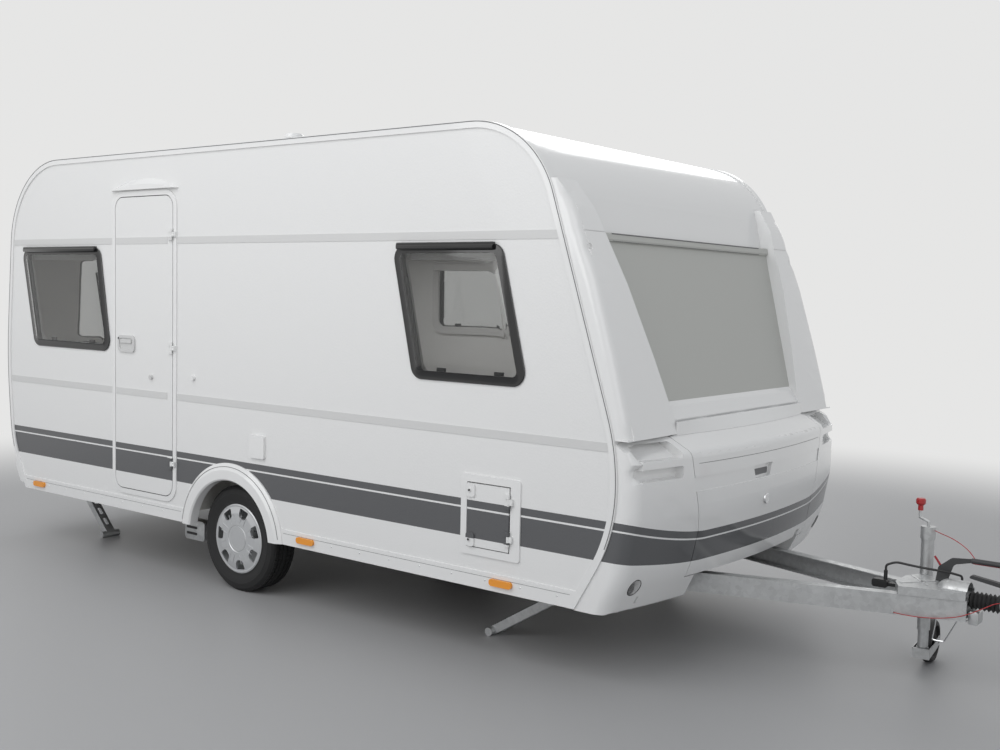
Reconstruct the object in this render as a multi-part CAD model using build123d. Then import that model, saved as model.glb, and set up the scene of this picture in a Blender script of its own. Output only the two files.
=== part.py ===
from build123d import *
from math import atan2, cos, degrees, hypot, radians, sin, tan
import os

# Travel caravan on one axle, parked on its nose wheel and four corner steadies.
# Millimetres. +X is forward, towards the tow hitch, +Y is the left side, +Z is up.
# Every x in this file is measured from the axle. The finished pieces are moved along X
# at the end, so that the origin lies on the floor below the middle of the whole length.

os.makedirs("parts", exist_ok=True)

# Body shell, seen from the side: x, z and the radius of each corner of its outline.
BODY_HALF = 1150
WALL = 32
BODY_OUTLINE = [
    (-2074, 200, 0), (-2345, 640, 700), (-2402, 1250, 3000), (-2300, 2578, 560),
    (2107, 2578, 500), (2596, 1080, 1000), (2592, 720, 740), (2295, 200, 0),
]
WALL_IN = BODY_HALF - WALL
BODY_BOTTOM = 356
SILL_TOP = 440
SILL_PROUD = 6
RAIL_DEPTH = 26
RAIL_PROUD = 8
FLOOR_BOTTOM = 432
FLOOR_THICK = 40
FLOOR_TOP = FLOOR_BOTTOM + FLOOR_THICK
SEAM_Z = 2066
PLAY = 5

# Wheels, arches and axle.
WHEEL_R = 311
TYRE_WIDTH = 195
WHEEL_Y = 1007
RIM_R = 205
HUB_DISC = 75
CAP_WINDOWS = 7
CAP_FIRST = 17.5
ARCH_R = 350
ARCH_LIP = 12
FLARE_R = 450
FLARE_PROUD = 30
BOX_HALF = 362
BOX_IN = 858
BOX_TOP = 702
BOX_WALL = 12
AXLE_TUBE_X = 150
AXLE_TUBE_W = 90
AXLE_TUBE_Z = 285

# Windows of the two sides: x of the lower and upper rear corners, lower and upper front
# corners, and the z of the lower and upper edges.
REAR_WINDOW = (-2054, -2207, -1172, -1286, 1349, 2007)
FRONT_WINDOW = (1394, 1240, 2108, 1940, 1340, 2007)
KITCHEN_WINDOW = (-420, -420, 380, 380, 1480, 2007)
WINDOW_ROUND = 70
WINDOW_LAP = 26
WINDOW_PROUD = 22
PANE_THICK = 18
SEAL = 4

# Entrance door in the right-hand wall, hinged at its front edge.
DOOR = (-1116, -539, 497, 2313)
DOOR_FRAME = 36
DOOR_ROUND = 70
DOOR_THICK = 30
DOOR_PROUD = 8
REBATE = 12
LIP_THICK = 10
HINGE_R = 7
DOOR_HINGES = (700, 1400, 2080)

CANOPY = (-1163, -487, 2356, 70)
CANOPY_PROUD = 30

# Service flap in the same wall, hinged at its front edge too.
FLAP = (1766, 2019, 556, 862)
FLAP_FRAME = 42
FLAP_PROUD = 4
FLAP_HINGES = (620, 798)
LOCK_BOSS = (50, 66)

# Belt strips, vents and roof fittings.
BELTS = (1108, 2046)
BELT_HIGH = 40
BELT_PROUD = 3
VENT_X = (620, 1060)
VENTS = ((600, 760), (1190, 1330))
VENT_SLATS = 4
ROOF_TOP = 2578
HATCH_X = (-1250, 450)
ROOF_VENT = (340, -1000)

# Moulding across the rear, its lamps and the place for a plate.
REAR_HALF = 1105
REAR_LAMP_Y = (790, 905, 1020)
REAR_LAMP_Z = 520
REAR_LAMP_R = 50
REAR_PLATE = 265

# Nose below and beside the front panel. The lower part is bowed in plan.
BOW_R = 5000
NOSE_OUTLINE = [
    (2380, 350, 0), (2683, 350, 25), (2766, 520, 450), (2812, 780, 450),
    (2812, 1066, 45), (2655, 1163, 0), (2380, 1163, 0),
]
PILLAR_LINE = [(2230, 2300), (2316, 2174), (2449, 1832), (2556, 1484), (2650, 1140)]
PANEL_TOP = (2298, 2067, 925)
PANEL_BOTTOM = (2570, 1283, 729)
PANEL_THICK = 22
PLUG_R = 16
PANEL_RAIL = (42, 16)
LID_SEAM = [(1163, 812), (691, 665), (471, 675)]
LID_BOTTOM = 471
LID_THICK = 30
LID_HINGE = (2634, 1188)
LID_BAND = (883, 950)
LID_LOCK = (-66, 776)
LID_HINGE_Y = (-420, 0, 420)
GRAB = (815, 1095, 958, 1118)
GRAB_BAR = (1014, 1050)
GRAB_DEEP = 42
NOSE_LAMP = (1033, 473)
NOSE_LAMP_X = 2588
NOSE_LAMP_R = 33
LOCKER_HALF = 640
LOCKER_BACK = 2200
LOCKER_TOP = 1090
LOCKER_WALL = 15

# Chassis and drawbar.
RAIL_Z = (333, 430)
RAIL_OUT = 715
RAIL_W = 60
SECTION_T = 5
FRAME_KNEE = 1650
BEAM_SLOPE = 0.302
BEAM_END = 3800
COUPLING_W = 36
CROSS_X = (-1950, -900, 900, 1620)

# Overrun device and tow hitch.
TUBE_Z = 425
TUBE_R = 25
HOUSING = (3490, 3795)
BELLOWS = (3797, 3930, 42, 31)
BALL_X = 4110
BALL_R = 25.15
BALL_Z = 392
HEAD_TIP = 4160
COVER = (3478, 3796, 470)
DOME = (3705, 445, 60)
BRAKE_Y = 66

# Towing lead, breakaway cable and where they start and end.
LEAD = 11
GLAND = (3736, 80)
CABLE = 4
CABLE_EYE = (3500, -163, 345)

# Nose wheel: tube place, wheel size, trail and the angle of the trail from +X.
JOCKEY_X = 3540
JOCKEY_Y = 185
JOCKEY_OUTER = 30
JOCKEY_INNER = 25
JOCKEY_TUBE = (195, 680)
JOCKEY_INNER_TOP = 560
JOCKEY_R = 106
JOCKEY_W = 58
JOCKEY_TRAIL = 142
JOCKEY_TURN = 93
KNOB = (3504, 170, 776)

# Corner steadies: name, pivot x, foot x, side.
STEADY_PIVOT_Z = 290
STEADY_Y = 742
STEADY_W = 64
FOOT_W = 136
STEADIES = [
    ("rear_right", -2080, -1806, -1), ("rear_left", -2080, -1806, 1),
    ("front_right", 2077, 1640, -1), ("front_left", 2077, 1640, 1),
]

pieces = {}
places = {}


def add(name, *solids):
    """Put solids into the node of this name. Like pieces on one body share a node."""
    for solid in solids:
        parts = list(solid) if isinstance(solid, (list, ShapeList)) else [solid]
        pieces.setdefault(name, []).extend(parts)


def block(x0, x1, y0, y1, z0, z1):
    middle = Pos((x0 + x1) / 2, (y0 + y1) / 2, (z0 + z1) / 2)
    return middle * Box(abs(x1 - x0), abs(y1 - y0), abs(z1 - z0))


def outline(corners):
    """A closed face from rows of first, second and corner radius."""
    points = [(row[0], row[1]) for row in corners]
    radii = [row[2] if len(row) > 2 else 0 for row in corners]
    if any(radii):
        return make_face(FilletPolyline(*points, radius=radii, close=True))
    return make_face(Polyline(*points, close=True))


def across(face, y0, y1):
    """A face drawn in x and z, drawn out along Y from y0 to y1."""
    low, high = min(y0, y1), max(y0, y1)
    return Pos(0, high, 0) * extrude(Plane.XZ * face, amount=high - low)


def upright(face, z0, z1):
    """A face drawn in x and y, drawn out along Z from z0 to z1."""
    return Pos(0, 0, z0) * extrude(face, amount=z1 - z0)


def round_bar(x, y, z, radius, length, axis="Z"):
    turn = {"X": Rot(0, 90, 0), "Y": Rot(90, 0, 0), "Z": Rot(0, 0, 0)}[axis]
    return Pos(x, y, z) * turn * Cylinder(radius, length)


def rectangle(x0, x1, z0, z1, corner=0):
    return outline([(x0, z0, corner), (x1, z0, corner), (x1, z1, corner), (x0, z1, corner)])


body_face = outline(BODY_OUTLINE)


def body_section(inset):
    if inset == 0:
        return body_face
    return offset(body_face, amount=-inset, kind=Kind.INTERSECTION)


FAR = 6000


def window_face(window, grow=0):
    low_rear, top_rear, low_front, top_front, low, top = window
    lean_rear = (top_rear - low_rear) / (top - low)
    lean_front = (top_front - low_front) / (top - low)
    corners = [
        (low_rear - lean_rear * grow - grow, low - grow, WINDOW_ROUND + grow),
        (low_front - lean_front * grow + grow, low - grow, WINDOW_ROUND + grow),
        (top_front + lean_front * grow + grow, top + grow, WINDOW_ROUND + grow),
        (top_rear + lean_rear * grow - grow, top + grow, WINDOW_ROUND + grow),
    ]
    return outline(corners)


def around(opening, grow, corner):
    """The outline of an opening, larger by the same width all round."""
    x0, x1, z0, z1 = opening
    return rectangle(x0 - grow, x1 + grow, z0 - grow, z1 + grow, corner + grow)


def arch_cut(radius):
    return round_bar(0, 0, WHEEL_R, radius, 2 * FAR, "Y")


WINDOWS = {-1: {"rear": REAR_WINDOW, "front": FRONT_WINDOW},
           1: {"rear": REAR_WINDOW, "front": FRONT_WINDOW, "kitchen": KITCHEN_WINDOW}}
SIDES = {"right": -1, "left": 1}

# Side walls, rails, sills, windows and wheel arches, one loop for both sides.
full = across(body_section(0), -WALL_IN, WALL_IN)
for side, s in SIDES.items():
    wall = across(body_section(RAIL_DEPTH), s * WALL_IN, s * BODY_HALF)
    wall -= block(-FAR, FAR, -FAR, FAR, 0, SILL_TOP)
    wall -= arch_cut(ARCH_R + ARCH_LIP)
    seals = []
    for window in WINDOWS[s].values():
        hole = window_face(window, -WINDOW_LAP)
        wall -= across(hole, s * (WALL_IN - PLAY), s * (BODY_HALF + PLAY))
        lip = across(window_face(window, -WINDOW_LAP), s * (WALL_IN - SEAL), s * BODY_HALF)
        lip += across(window_face(window, -6), s * BODY_HALF, s * (BODY_HALF + SEAL))
        lip -= across(window_face(window, -WINDOW_LAP - 14), s * (WALL_IN - 20), s * (BODY_HALF + 20))
        seals.append(lip)
    if s < 0:
        wall -= across(around(DOOR, DOOR_FRAME, DOOR_ROUND), -FAR, -900)
        x0, x1, z0, z1 = FLAP
        wall -= block(x0 - REBATE, x1 + REBATE, -FAR, -900, z0 - REBATE, z1 + REBATE)
    add(f"side_wall_{side}", wall)
    add("window_linings", *seals)

    rail = across(body_section(-RAIL_PROUD), s * WALL_IN, s * (BODY_HALF + RAIL_PROUD))
    rail -= across(body_section(RAIL_DEPTH), s * (WALL_IN - PLAY), s * (BODY_HALF + RAIL_PROUD + PLAY))
    rail -= block(-FAR, FAR, -FAR, FAR, 0, BODY_BOTTOM)
    add("edge_rails", rail)

    sill = across(body_section(RAIL_DEPTH), s * WALL_IN, s * (BODY_HALF + SILL_PROUD))
    sill &= block(-FAR, FAR, -FAR, FAR, BODY_BOTTOM, SILL_TOP)
    sill -= arch_cut(FLARE_R + 1)
    add("sills", sill)

    for where, window in WINDOWS[s].items():
        pane = across(window_face(window), s * (BODY_HALF + SEAL), s * (BODY_HALF + WINDOW_PROUD))
        outer = pane.faces().filter_by(Axis.Y).sort_by(Axis.Y)[0 if s < 0 else -1]
        pane = fillet(outer.edges(), 12)
        add("windows", pane)

    ring = [
        (ARCH_R, WALL_IN), (ARCH_R, BODY_HALF + FLARE_PROUD - 8), (ARCH_R + 8, BODY_HALF + FLARE_PROUD),
        (FLARE_R - 40, BODY_HALF + FLARE_PROUD), (FLARE_R, BODY_HALF + 8), (FLARE_R, BODY_HALF),
        (ARCH_R + ARCH_LIP, BODY_HALF), (ARCH_R + ARCH_LIP, WALL_IN),
    ]
    section = Plane.XY * make_face(Polyline(*[(r, s * y) for r, y in ring], close=True))
    flare = Pos(0, 0, WHEEL_R) * revolve(section, Axis.Y, 360)
    flare &= block(-FAR, FAR, -FAR, FAR, BODY_BOTTOM, FAR)
    add("wheel_arches", flare)

    box = block(-BOX_HALF, BOX_HALF, s * BOX_IN, s * WALL_IN, FLOOR_BOTTOM, BOX_TOP)
    box -= block(-BOX_HALF + BOX_WALL, BOX_HALF - BOX_WALL, s * (BOX_IN + BOX_WALL), s * (WALL_IN + 9),
                 FLOOR_BOTTOM - 9, BOX_TOP - BOX_WALL)
    add("inner_boxes", box)

# Rear wall, roof, front wall and floor, all the thickness of one panel.
inner = across(body_section(WALL), -WALL_IN - 9, WALL_IN + 9)
shell = full - inner
rear_part = block(-FAR, -1500, -FAR, FAR, SILL_TOP, SEAM_Z)
front_part = block(1500, FAR, -FAR, FAR, SILL_TOP, SEAM_Z)
roof_part = block(-FAR, FAR, -FAR, FAR, SEAM_Z, FAR)
REAR_GLASS = (-640, 640, 1345, 1985)
rear_hole = rectangle(REAR_GLASS[0], REAR_GLASS[1], REAR_GLASS[2], REAR_GLASS[3], WINDOW_ROUND)
rear_cut = Pos(-2000, 0, 0) * extrude(Plane.YZ * rear_hole, amount=-600)
add("rear_wall", (shell & rear_part) - rear_cut)
locker_hole = block(LOCKER_BACK, FAR, -LOCKER_HALF - LOCKER_WALL, LOCKER_HALF + LOCKER_WALL,
                    SILL_TOP - 20, LOCKER_TOP + LOCKER_WALL)
add("front_wall", (shell & front_part) - locker_hole)
add("roof", shell & roof_part)
floor = across(body_section(WALL), -WALL_IN, WALL_IN) & block(-FAR, FAR, -FAR, FAR, FLOOR_BOTTOM, FLOOR_TOP)
for s in (-1, 1):
    floor -= block(-BOX_HALF, BOX_HALF, s * BOX_IN, s * FAR, 0, FAR)
add("floor", floor)

# The rear window follows the curve of the rear wall, a little outside it.
grown = rectangle(REAR_GLASS[0] - WINDOW_LAP, REAR_GLASS[1] + WINDOW_LAP,
                  REAR_GLASS[2] - WINDOW_LAP, REAR_GLASS[3] + WINDOW_LAP, WINDOW_ROUND + WINDOW_LAP)
grown_cut = Pos(-2000, 0, 0) * extrude(Plane.YZ * grown, amount=-600)
rear_pane = across(body_section(-PANE_THICK - SEAL) - body_section(-SEAL), -WALL_IN, WALL_IN) & grown_cut
add("windows", rear_pane)
rear_seal = (across(body_section(-SEAL) - body_section(WALL), -WALL_IN, WALL_IN) & rear_cut)
slim = rectangle(REAR_GLASS[0] + 14, REAR_GLASS[1] - 14, REAR_GLASS[2] + 14, REAR_GLASS[3] - 14, WINDOW_ROUND - 14)
rear_seal -= Pos(-1900, 0, 0) * extrude(Plane.YZ * slim, amount=-800)
add("window_linings", rear_seal)

# Entrance door: frame in the wall, leaf, hinges, handle and the rain canopy above.
x0, x1, z0, z1 = DOOR
out = -BODY_HALF - DOOR_PROUD
lip_front = out + DOOR_THICK + PLAY
frame = across(around(DOOR, DOOR_FRAME, DOOR_ROUND), out, -WALL_IN)
frame += across(around(DOOR, PLAY, DOOR_ROUND), lip_front, lip_front + LIP_THICK)
frame -= across(around(DOOR, PLAY, DOOR_ROUND), out - PLAY, lip_front)
frame -= across(around(DOOR, -REBATE, DOOR_ROUND), lip_front - PLAY, lip_front + LIP_THICK + PLAY)
leaf = across(around(DOOR, 0, DOOR_ROUND), out, out + DOOR_THICK)
HINGE_X = x1 + 2
HINGE_Y = out - 10
places["door_swing"] = (HINGE_X, HINGE_Y, (z0 + z1) / 2)


def hinge(x, y, face, z, reach):
    """Fixed knuckle with its plate on one side, and two moving knuckles with theirs."""
    fixed = round_bar(x, y, z, HINGE_R, 28) + block(x, x + reach, y - 2, face, z - 14, z + 14)
    moving = []
    for up in (-1, 1):
        knuckle = round_bar(x, y, z + up * 25, HINGE_R, 20)
        knuckle += block(x - reach, x, y - 2, face, z + up * 25 - 10, z + up * 25 + 10)
        moving.append(knuckle)
    return fixed, moving


fixed_knuckles, moving_knuckles = [], []
for z in DOOR_HINGES:
    fixed, moving = hinge(HINGE_X, HINGE_Y, out, z, 34)
    fixed_knuckles.append(fixed)
    moving_knuckles += moving
for knuckle in fixed_knuckles:
    frame += knuckle
for knuckle in moving_knuckles:
    leaf += knuckle
add("door_frame", frame)
add("door_leaf", leaf)
handle = across(rectangle(-1079, -908, 1355, 1459, 30), out - 12, out)
handle -= across(rectangle(-1062, -925, 1372, 1442, 20), out - 13, out - 5)
handle += across(rectangle(-1050, -937, 1412, 1436, 8), out - 14, out - 5)
add("door_handle", handle, round_bar(-741, out - 8, 1213, 14, 16, "Y"))
add("wall_fittings", round_bar(-342, -BODY_HALF - 9, 1232, 14, 18, "Y"))
x0, x1, z0, rise = CANOPY


def lens(inset, height):
    """Area between a straight lower edge and an arch, at one depth of the canopy."""
    low, high, middle = x0 + inset, x1 - inset, (x0 + x1) / 2
    return make_face(ThreePointArc((low, z0), (middle, z0 + height), (high, z0)) + Line((high, z0), (low, z0)))


canopy = loft([Plane((0, -BODY_HALF, 0), x_dir=(1, 0, 0), z_dir=(0, -1, 0)) * lens(0, rise),
               Plane((0, -BODY_HALF - CANOPY_PROUD, 0), x_dir=(1, 0, 0), z_dir=(0, -1, 0))
               * lens(CANOPY_PROUD, rise * 0.45)])
add("door_canopy", canopy)

# Service flap with its frame, and the small cover of the mains inlet.
x0, x1, z0, z1 = FLAP
out = -BODY_HALF - DOOR_PROUD
flange = across(rectangle(x0 - FLAP_FRAME, x1 + FLAP_FRAME + 20, z0 - FLAP_FRAME, z1 + FLAP_FRAME, 16),
                out, -BODY_HALF)
flange += block(x0 - REBATE, x1 + REBATE, -BODY_HALF, -WALL_IN, z0 - REBATE, z1 + REBATE)
flange -= block(x0 - PLAY, x1 + PLAY, out - 9, -WALL_IN + 9, z0 - PLAY, z1 + PLAY)
flap = block(x0, x1, out - FLAP_PROUD, out + DOOR_THICK - FLAP_PROUD, z0, z1)
FLAP_X = x1 + 2
FLAP_Y = out - 12
for z in FLAP_HINGES:
    fixed, moving = hinge(FLAP_X, FLAP_Y, out, z, 22)
    flange += fixed
    for knuckle in moving:
        flap += knuckle
add("flap_frame", flange)
add("service_flap", flap)
places["service_flap_swing"] = (FLAP_X, FLAP_Y, (z0 + z1) / 2)
width, height = LOCK_BOSS
for low, high in ((z0, z0 + height), (z1 - height, z1)):
    boss = across(rectangle(x0, x0 + width, low, high, 14), out - FLAP_PROUD - 8, out - FLAP_PROUD)
    boss += round_bar(x0 + width / 2 - 4, out - FLAP_PROUD - 9, (low + high) / 2, 9, 6, "Y")
    add("service_flap", boss)
add("wall_fittings", across(rectangle(173, 296, 815, 947, 12), -BODY_HALF - 16, -BODY_HALF))

# Belt strips over the seams of the side skin, broken at the door frame and the rails.
for side, s in SIDES.items():
    band = across(body_section(RAIL_DEPTH), s * BODY_HALF, s * (BODY_HALF + BELT_PROUD))
    for z in BELTS:
        strip = band & block(-FAR, FAR, -FAR, FAR, z - BELT_HIGH / 2, z + BELT_HIGH / 2)
        if s < 0:
            strip -= across(around(DOOR, DOOR_FRAME, DOOR_ROUND), -FAR, -900)
        add("belt_strips", *strip.solids())
for z in BELTS:
    add("door_leaf", block(DOOR[0] + 8, DOOR[1] - 48, -BODY_HALF - DOOR_PROUD - BELT_PROUD,
                           -BODY_HALF - DOOR_PROUD, z - BELT_HIGH / 2, z + BELT_HIGH / 2))

# Fridge vents in the left-hand wall, each a frame with sloping slats.
x0, x1 = VENT_X
for z0, z1 in VENTS:
    vent = across(rectangle(x0, x1, z0, z1, 12), BODY_HALF, BODY_HALF + 14)
    vent -= across(rectangle(x0 + 18, x1 - 18, z0 + 16, z1 - 16, 4), BODY_HALF + 4, BODY_HALF + 20)
    pitch = (z1 - z0 - 32) / VENT_SLATS
    for k in range(VENT_SLATS):
        low = z0 + 16 + k * pitch
        slat = make_face(Polyline((BODY_HALF + 2, low + pitch * 0.75), (BODY_HALF + 5, low + pitch * 0.75),
                                  (BODY_HALF + 13, low + 4), (BODY_HALF + 10, low + 4), close=True))
        vent += Pos(x0 + 10, 0, 0) * extrude(Plane.YZ * slat, amount=x1 - x0 - 20)
    add("wall_fittings", vent)

# Roof: two hatches with domed lids, and the small vent beside the rail.
for x in HATCH_X:
    hatch = block(x - 210, x + 210, -210, 210, ROOF_TOP, ROOF_TOP + 22)
    dome = fillet(block(x - 190, x + 190, -190, 190, ROOF_TOP + 22, ROOF_TOP + 58).edges().filter_by(Axis.Z), 40)
    dome = fillet(dome.faces().sort_by(Axis.Z)[-1].edges(), 16)
    add("roof_hatches", hatch + dome)
x, y = ROOF_VENT
vent = round_bar(x, y, ROOF_TOP + 16, 34, 32) + round_bar(x, y, ROOF_TOP + 44, 52, 24)
add("roof_hatches", fillet(vent.faces().sort_by(Axis.Z)[-1].edges(), 10))

# Rear moulding with the lamps.
moulding = across(outline([(-2215, 374, 0), (-2335, 374, 25), (-2392, 470, 60), (-2397, 640, 14), (-2300, 640, 0)]),
                  -REAR_HALF, REAR_HALF) - across(body_section(0), -FAR, FAR)
lamps = []
for y in REAR_LAMP_Y:
    for s in (-1, 1):
        lamps.append(round_bar(-2380, s * y, REAR_LAMP_Z, REAR_LAMP_R, 40, "X"))
for lamp in lamps:
    moulding -= lamp
    add("rear_lamps", fillet(lamp.faces().sort_by(Axis.X)[0].edges(), 6))
moulding -= block(-2420, -2380, -REAR_PLATE, REAR_PLATE, 462, 584)
add("rear_bumper", moulding)

# Marker lamps on the sills.
for side, s in SIDES.items():
    lamps = []
    for x in (-1999, 636, 1979):
        lamps.append(across(rectangle(x - 66, x + 66, 384, 418, 15),
                            s * (BODY_HALF + SILL_PROUD), s * (BODY_HALF + SILL_PROUD + 14)))
    add("marker_lamps", *lamps)

# Nose: bowed lower corners, pillars, grey front panel, apron and the locker lid.
axis_x = NOSE_OUTLINE[3][0] - BOW_R
bow_axis = Axis((axis_x, 0, 0), (0, 0, 1))
nose_plane = Plane.XZ
bowed = revolve(nose_plane * outline(NOSE_OUTLINE), bow_axis, 15)
bowed += revolve(nose_plane * outline(NOSE_OUTLINE), bow_axis, -15)
bowed &= block(0, FAR, -BODY_HALF, BODY_HALF, 0, FAR)
bowed_core = revolve(nose_plane * offset(outline(NOSE_OUTLINE), amount=-LID_THICK, kind=Kind.INTERSECTION),
                     bow_axis, 15)
bowed_core += revolve(nose_plane * offset(outline(NOSE_OUTLINE), amount=-LID_THICK, kind=Kind.INTERSECTION),
                      bow_axis, -15)
body_solid = across(body_section(0), -FAR, FAR)
rail_solid = across(body_section(-RAIL_PROUD), -FAR, FAR)


def lid_region(grow, top):
    """Area between the two lid seams, in y and z, drawn out along X."""
    half = [(y + grow, z) for z, y in LID_SEAM]
    half[0] = (half[0][0], top)
    half[-1] = (half[-1][0], LID_BOTTOM - grow)
    ring = half + [(-y, z) for y, z in reversed(half)]
    return extrude(Plane.YZ * make_face(Polyline(*ring, close=True)), amount=FAR)



def recess(face, depth):
    """The part of the bowed nose inside an area in y and z, down to a depth below its surface."""
    return (bowed - Pos(LID_THICK - depth, 0, 0) * bowed_core) & extrude(Plane.YZ * face, amount=FAR)


nose_front = bowed - body_solid
lid = (bowed - bowed_core) & lid_region(0, 1300)
lid &= block(LID_HINGE[0] + 8, FAR, -FAR, FAR, 0, FAR)
lid -= rail_solid
lid -= recess(rectangle(-900, 900, LID_BAND[0], LID_BAND[1]), 4)
lid -= recess(outline([(-180, 889, 12), (-25, 889, 12), (0, 956, 6), (-206, 956, 6)]), 22)
lid -= recess(rectangle(520, 580, 440, 512, 8), 22)
lock = round_bar(2806, LID_LOCK[0], LID_LOCK[1], 24, 24, "X")
lid -= lock
for y in LID_HINGE_Y:
    for side in (-1, 1):
        middle = y + side * 32
        lid += block(LID_HINGE[0] + 2, LID_HINGE[0] + 18, middle - 10, middle + 10, 1145, LID_HINGE[1] + 4)
        lid += round_bar(LID_HINGE[0], middle, LID_HINGE[1], 5.5, 20, "Y")
add("locker_lid", lid)
add("locker_lid", lock)
places["locker_lid_swing"] = (LID_HINGE[0], 0, LID_HINGE[1])

corners = nose_front - lid_region(PLAY, 1300) - block(0, FAR, -600, 600, 0, FAR)
for side, s in SIDES.items():
    corner = corners & block(0, FAR, 0, s * FAR, 0, FAR)
    corner -= rail_solid & block(0, FAR, s * WALL_IN, s * FAR, 0, FAR)
    y0, y1, z0, z1 = GRAB
    for low, high in ((z0, GRAB_BAR[0]), (GRAB_BAR[1], z1)):
        corner -= recess(rectangle(min(s * y0, s * y1), max(s * y0, s * y1), low, high, 14), GRAB_DEEP)
    y, z = NOSE_LAMP
    corner -= round_bar(NOSE_LAMP_X + 100, s * y, z, NOSE_LAMP_R + 2, 200, "X")
    corner -= block(2560, FAR, s * 970, s * 984, 386, 420)
    add("nose_corners", corner)
    lamp = round_bar(NOSE_LAMP_X + 14, s * y, z, NOSE_LAMP_R, 28, "X")
    add("front_lamps", fillet(lamp.faces().sort_by(Axis.X)[-1].edges(), 5))


def edge_y(z):
    return PANEL_BOTTOM[2] + (PANEL_TOP[2] - PANEL_BOTTOM[2]) * (z - PANEL_BOTTOM[1]) / (PANEL_TOP[1] - PANEL_BOTTOM[1])


def between_pillars(z0, z1):
    """Area between the pillars' inner edges, in y and z, drawn out along X."""
    corners = [(-edge_y(z0), z0), (edge_y(z0), z0), (edge_y(z1), z1), (-edge_y(z1), z1)]
    return extrude(Plane.YZ * make_face(Polyline(*corners, close=True)), amount=FAR)


pillar_face = make_face(Polyline(*PILLAR_LINE, (2380, 1140), (2100, 2300), close=True))
for side, s in SIDES.items():
    pillar = across(pillar_face, s * 600, s * BODY_HALF) - body_solid
    pillar -= between_pillars(1100, 2400)
    pillar -= bowed
    pillar -= rail_solid & block(0, FAR, s * WALL_IN, s * FAR, 0, FAR)
    pillar -= block(2200, FAR, -FAR, FAR, SEAM_Z - 2, SEAM_Z + 2) - across(offset(pillar_face, amount=-4), -FAR, FAR)
    pillar -= round_bar(2392, s * 1087, 1992, PLUG_R, 30, "X")
    add("nose_pillars", pillar)

slope = (PANEL_BOTTOM[0] - PANEL_TOP[0]) / (PANEL_TOP[1] - PANEL_BOTTOM[1])
lean = hypot(1, slope)
panel_face = make_face(Polyline(PANEL_TOP[:2], PANEL_BOTTOM[:2],
                                (PANEL_BOTTOM[0] - PANEL_THICK * lean, PANEL_BOTTOM[1]),
                                (PANEL_TOP[0] - PANEL_THICK * lean, PANEL_TOP[1]), close=True))
panel = across(panel_face, -FAR, FAR) & between_pillars(PANEL_BOTTOM[1], PANEL_TOP[1])
add("front_panel", panel - body_solid)
high, proud = PANEL_RAIL
along_x, along_z = slope / lean, -1 / lean
rail_ring = [(0, 0), (high, 0), (high, proud * 0.6), (high - 8, proud), (6, proud), (0, proud * 0.7)]
rail_face = make_face(Polyline(*[(PANEL_TOP[0] + along_x * a - along_z * b, PANEL_TOP[1] + along_z * a + along_x * b)
                                 for a, b in rail_ring], close=True))
rail = across(rail_face, -FAR, FAR) & between_pillars(PANEL_TOP[1] - high - 40, PANEL_TOP[1] + 40)
add("front_panel", rail)
apron_face = make_face(Polyline(PANEL_BOTTOM[:2], (2592, 1262), (2628, 1205), (2628, 1150), (2500, 1150),
                                (2500, 1283), close=True))
apron = (across(apron_face, -FAR, FAR) & between_pillars(1100, PANEL_BOTTOM[1])) - body_solid
for y in LID_HINGE_Y:
    apron += block(LID_HINGE[0] - 12, LID_HINGE[0], y - 20, y + 20, LID_HINGE[1] - 5, LID_HINGE[1] + 5)
    apron += round_bar(LID_HINGE[0], y, LID_HINGE[1], 5.5, 40, "Y")
add("nose_apron", apron)

# Gas locker behind the lid.
locker = block(LOCKER_BACK, 2650, -LOCKER_HALF - LOCKER_WALL, LOCKER_HALF + LOCKER_WALL,
               FLOOR_TOP, LOCKER_TOP + LOCKER_WALL)
locker -= block(LOCKER_BACK + LOCKER_WALL, FAR, -LOCKER_HALF, LOCKER_HALF, FLOOR_TOP + LOCKER_WALL, LOCKER_TOP)
add("inner_boxes", locker & across(body_section(4), -FAR, FAR))

# Chassis rails, cross members and drawbar beams, each an open channel.
low, high = RAIL_Z


def channel(length_points, s):
    """Open channel along a straight run in plan, its web outside."""
    (ax, ay), (bx, by) = length_points
    solid = upright(make_face(Polyline((ax, s * ay), (bx, s * by), (bx, s * (by - RAIL_W)),
                                       (ax, s * (ay - RAIL_W)), close=True)), low, high)
    hollow = upright(make_face(Polyline((ax - 9, s * (ay - SECTION_T)), (bx + 9, s * (by - SECTION_T)),
                                        (bx + 9, s * (by - RAIL_W - 9)), (ax - 9, s * (ay - RAIL_W - 9)),
                                        close=True)), low + SECTION_T, high - SECTION_T)
    return solid - hollow


def beam_y(x):
    return RAIL_OUT - BEAM_SLOPE * (x - FRAME_KNEE)


chassis = []
for side, s in SIDES.items():
    chassis.append(channel([(-2090, RAIL_OUT), (FRAME_KNEE - 2, RAIL_OUT)], s))
    beam = channel([(FRAME_KNEE, beam_y(FRAME_KNEE)), (BEAM_END, beam_y(BEAM_END))], s)
    beam -= block(0, FAR, -COUPLING_W, COUPLING_W, 0, FAR)
    if s < 0:
        beam += round_bar(CABLE_EYE[0], CABLE_EYE[1], CABLE_EYE[2], 6, 20, "Y")
    add("drawbar_beams", beam)
for x in CROSS_X:
    half = RAIL_OUT - SECTION_T
    member = block(x - 25, x + 25, -half, half, low + 15, high)
    chassis.append(member - block(x - 20, x + 30, -half - 9, half + 9, low + 20, high - 5))
frame = chassis[0]
for part in chassis[1:]:
    frame += part
add("chassis", frame)

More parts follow.
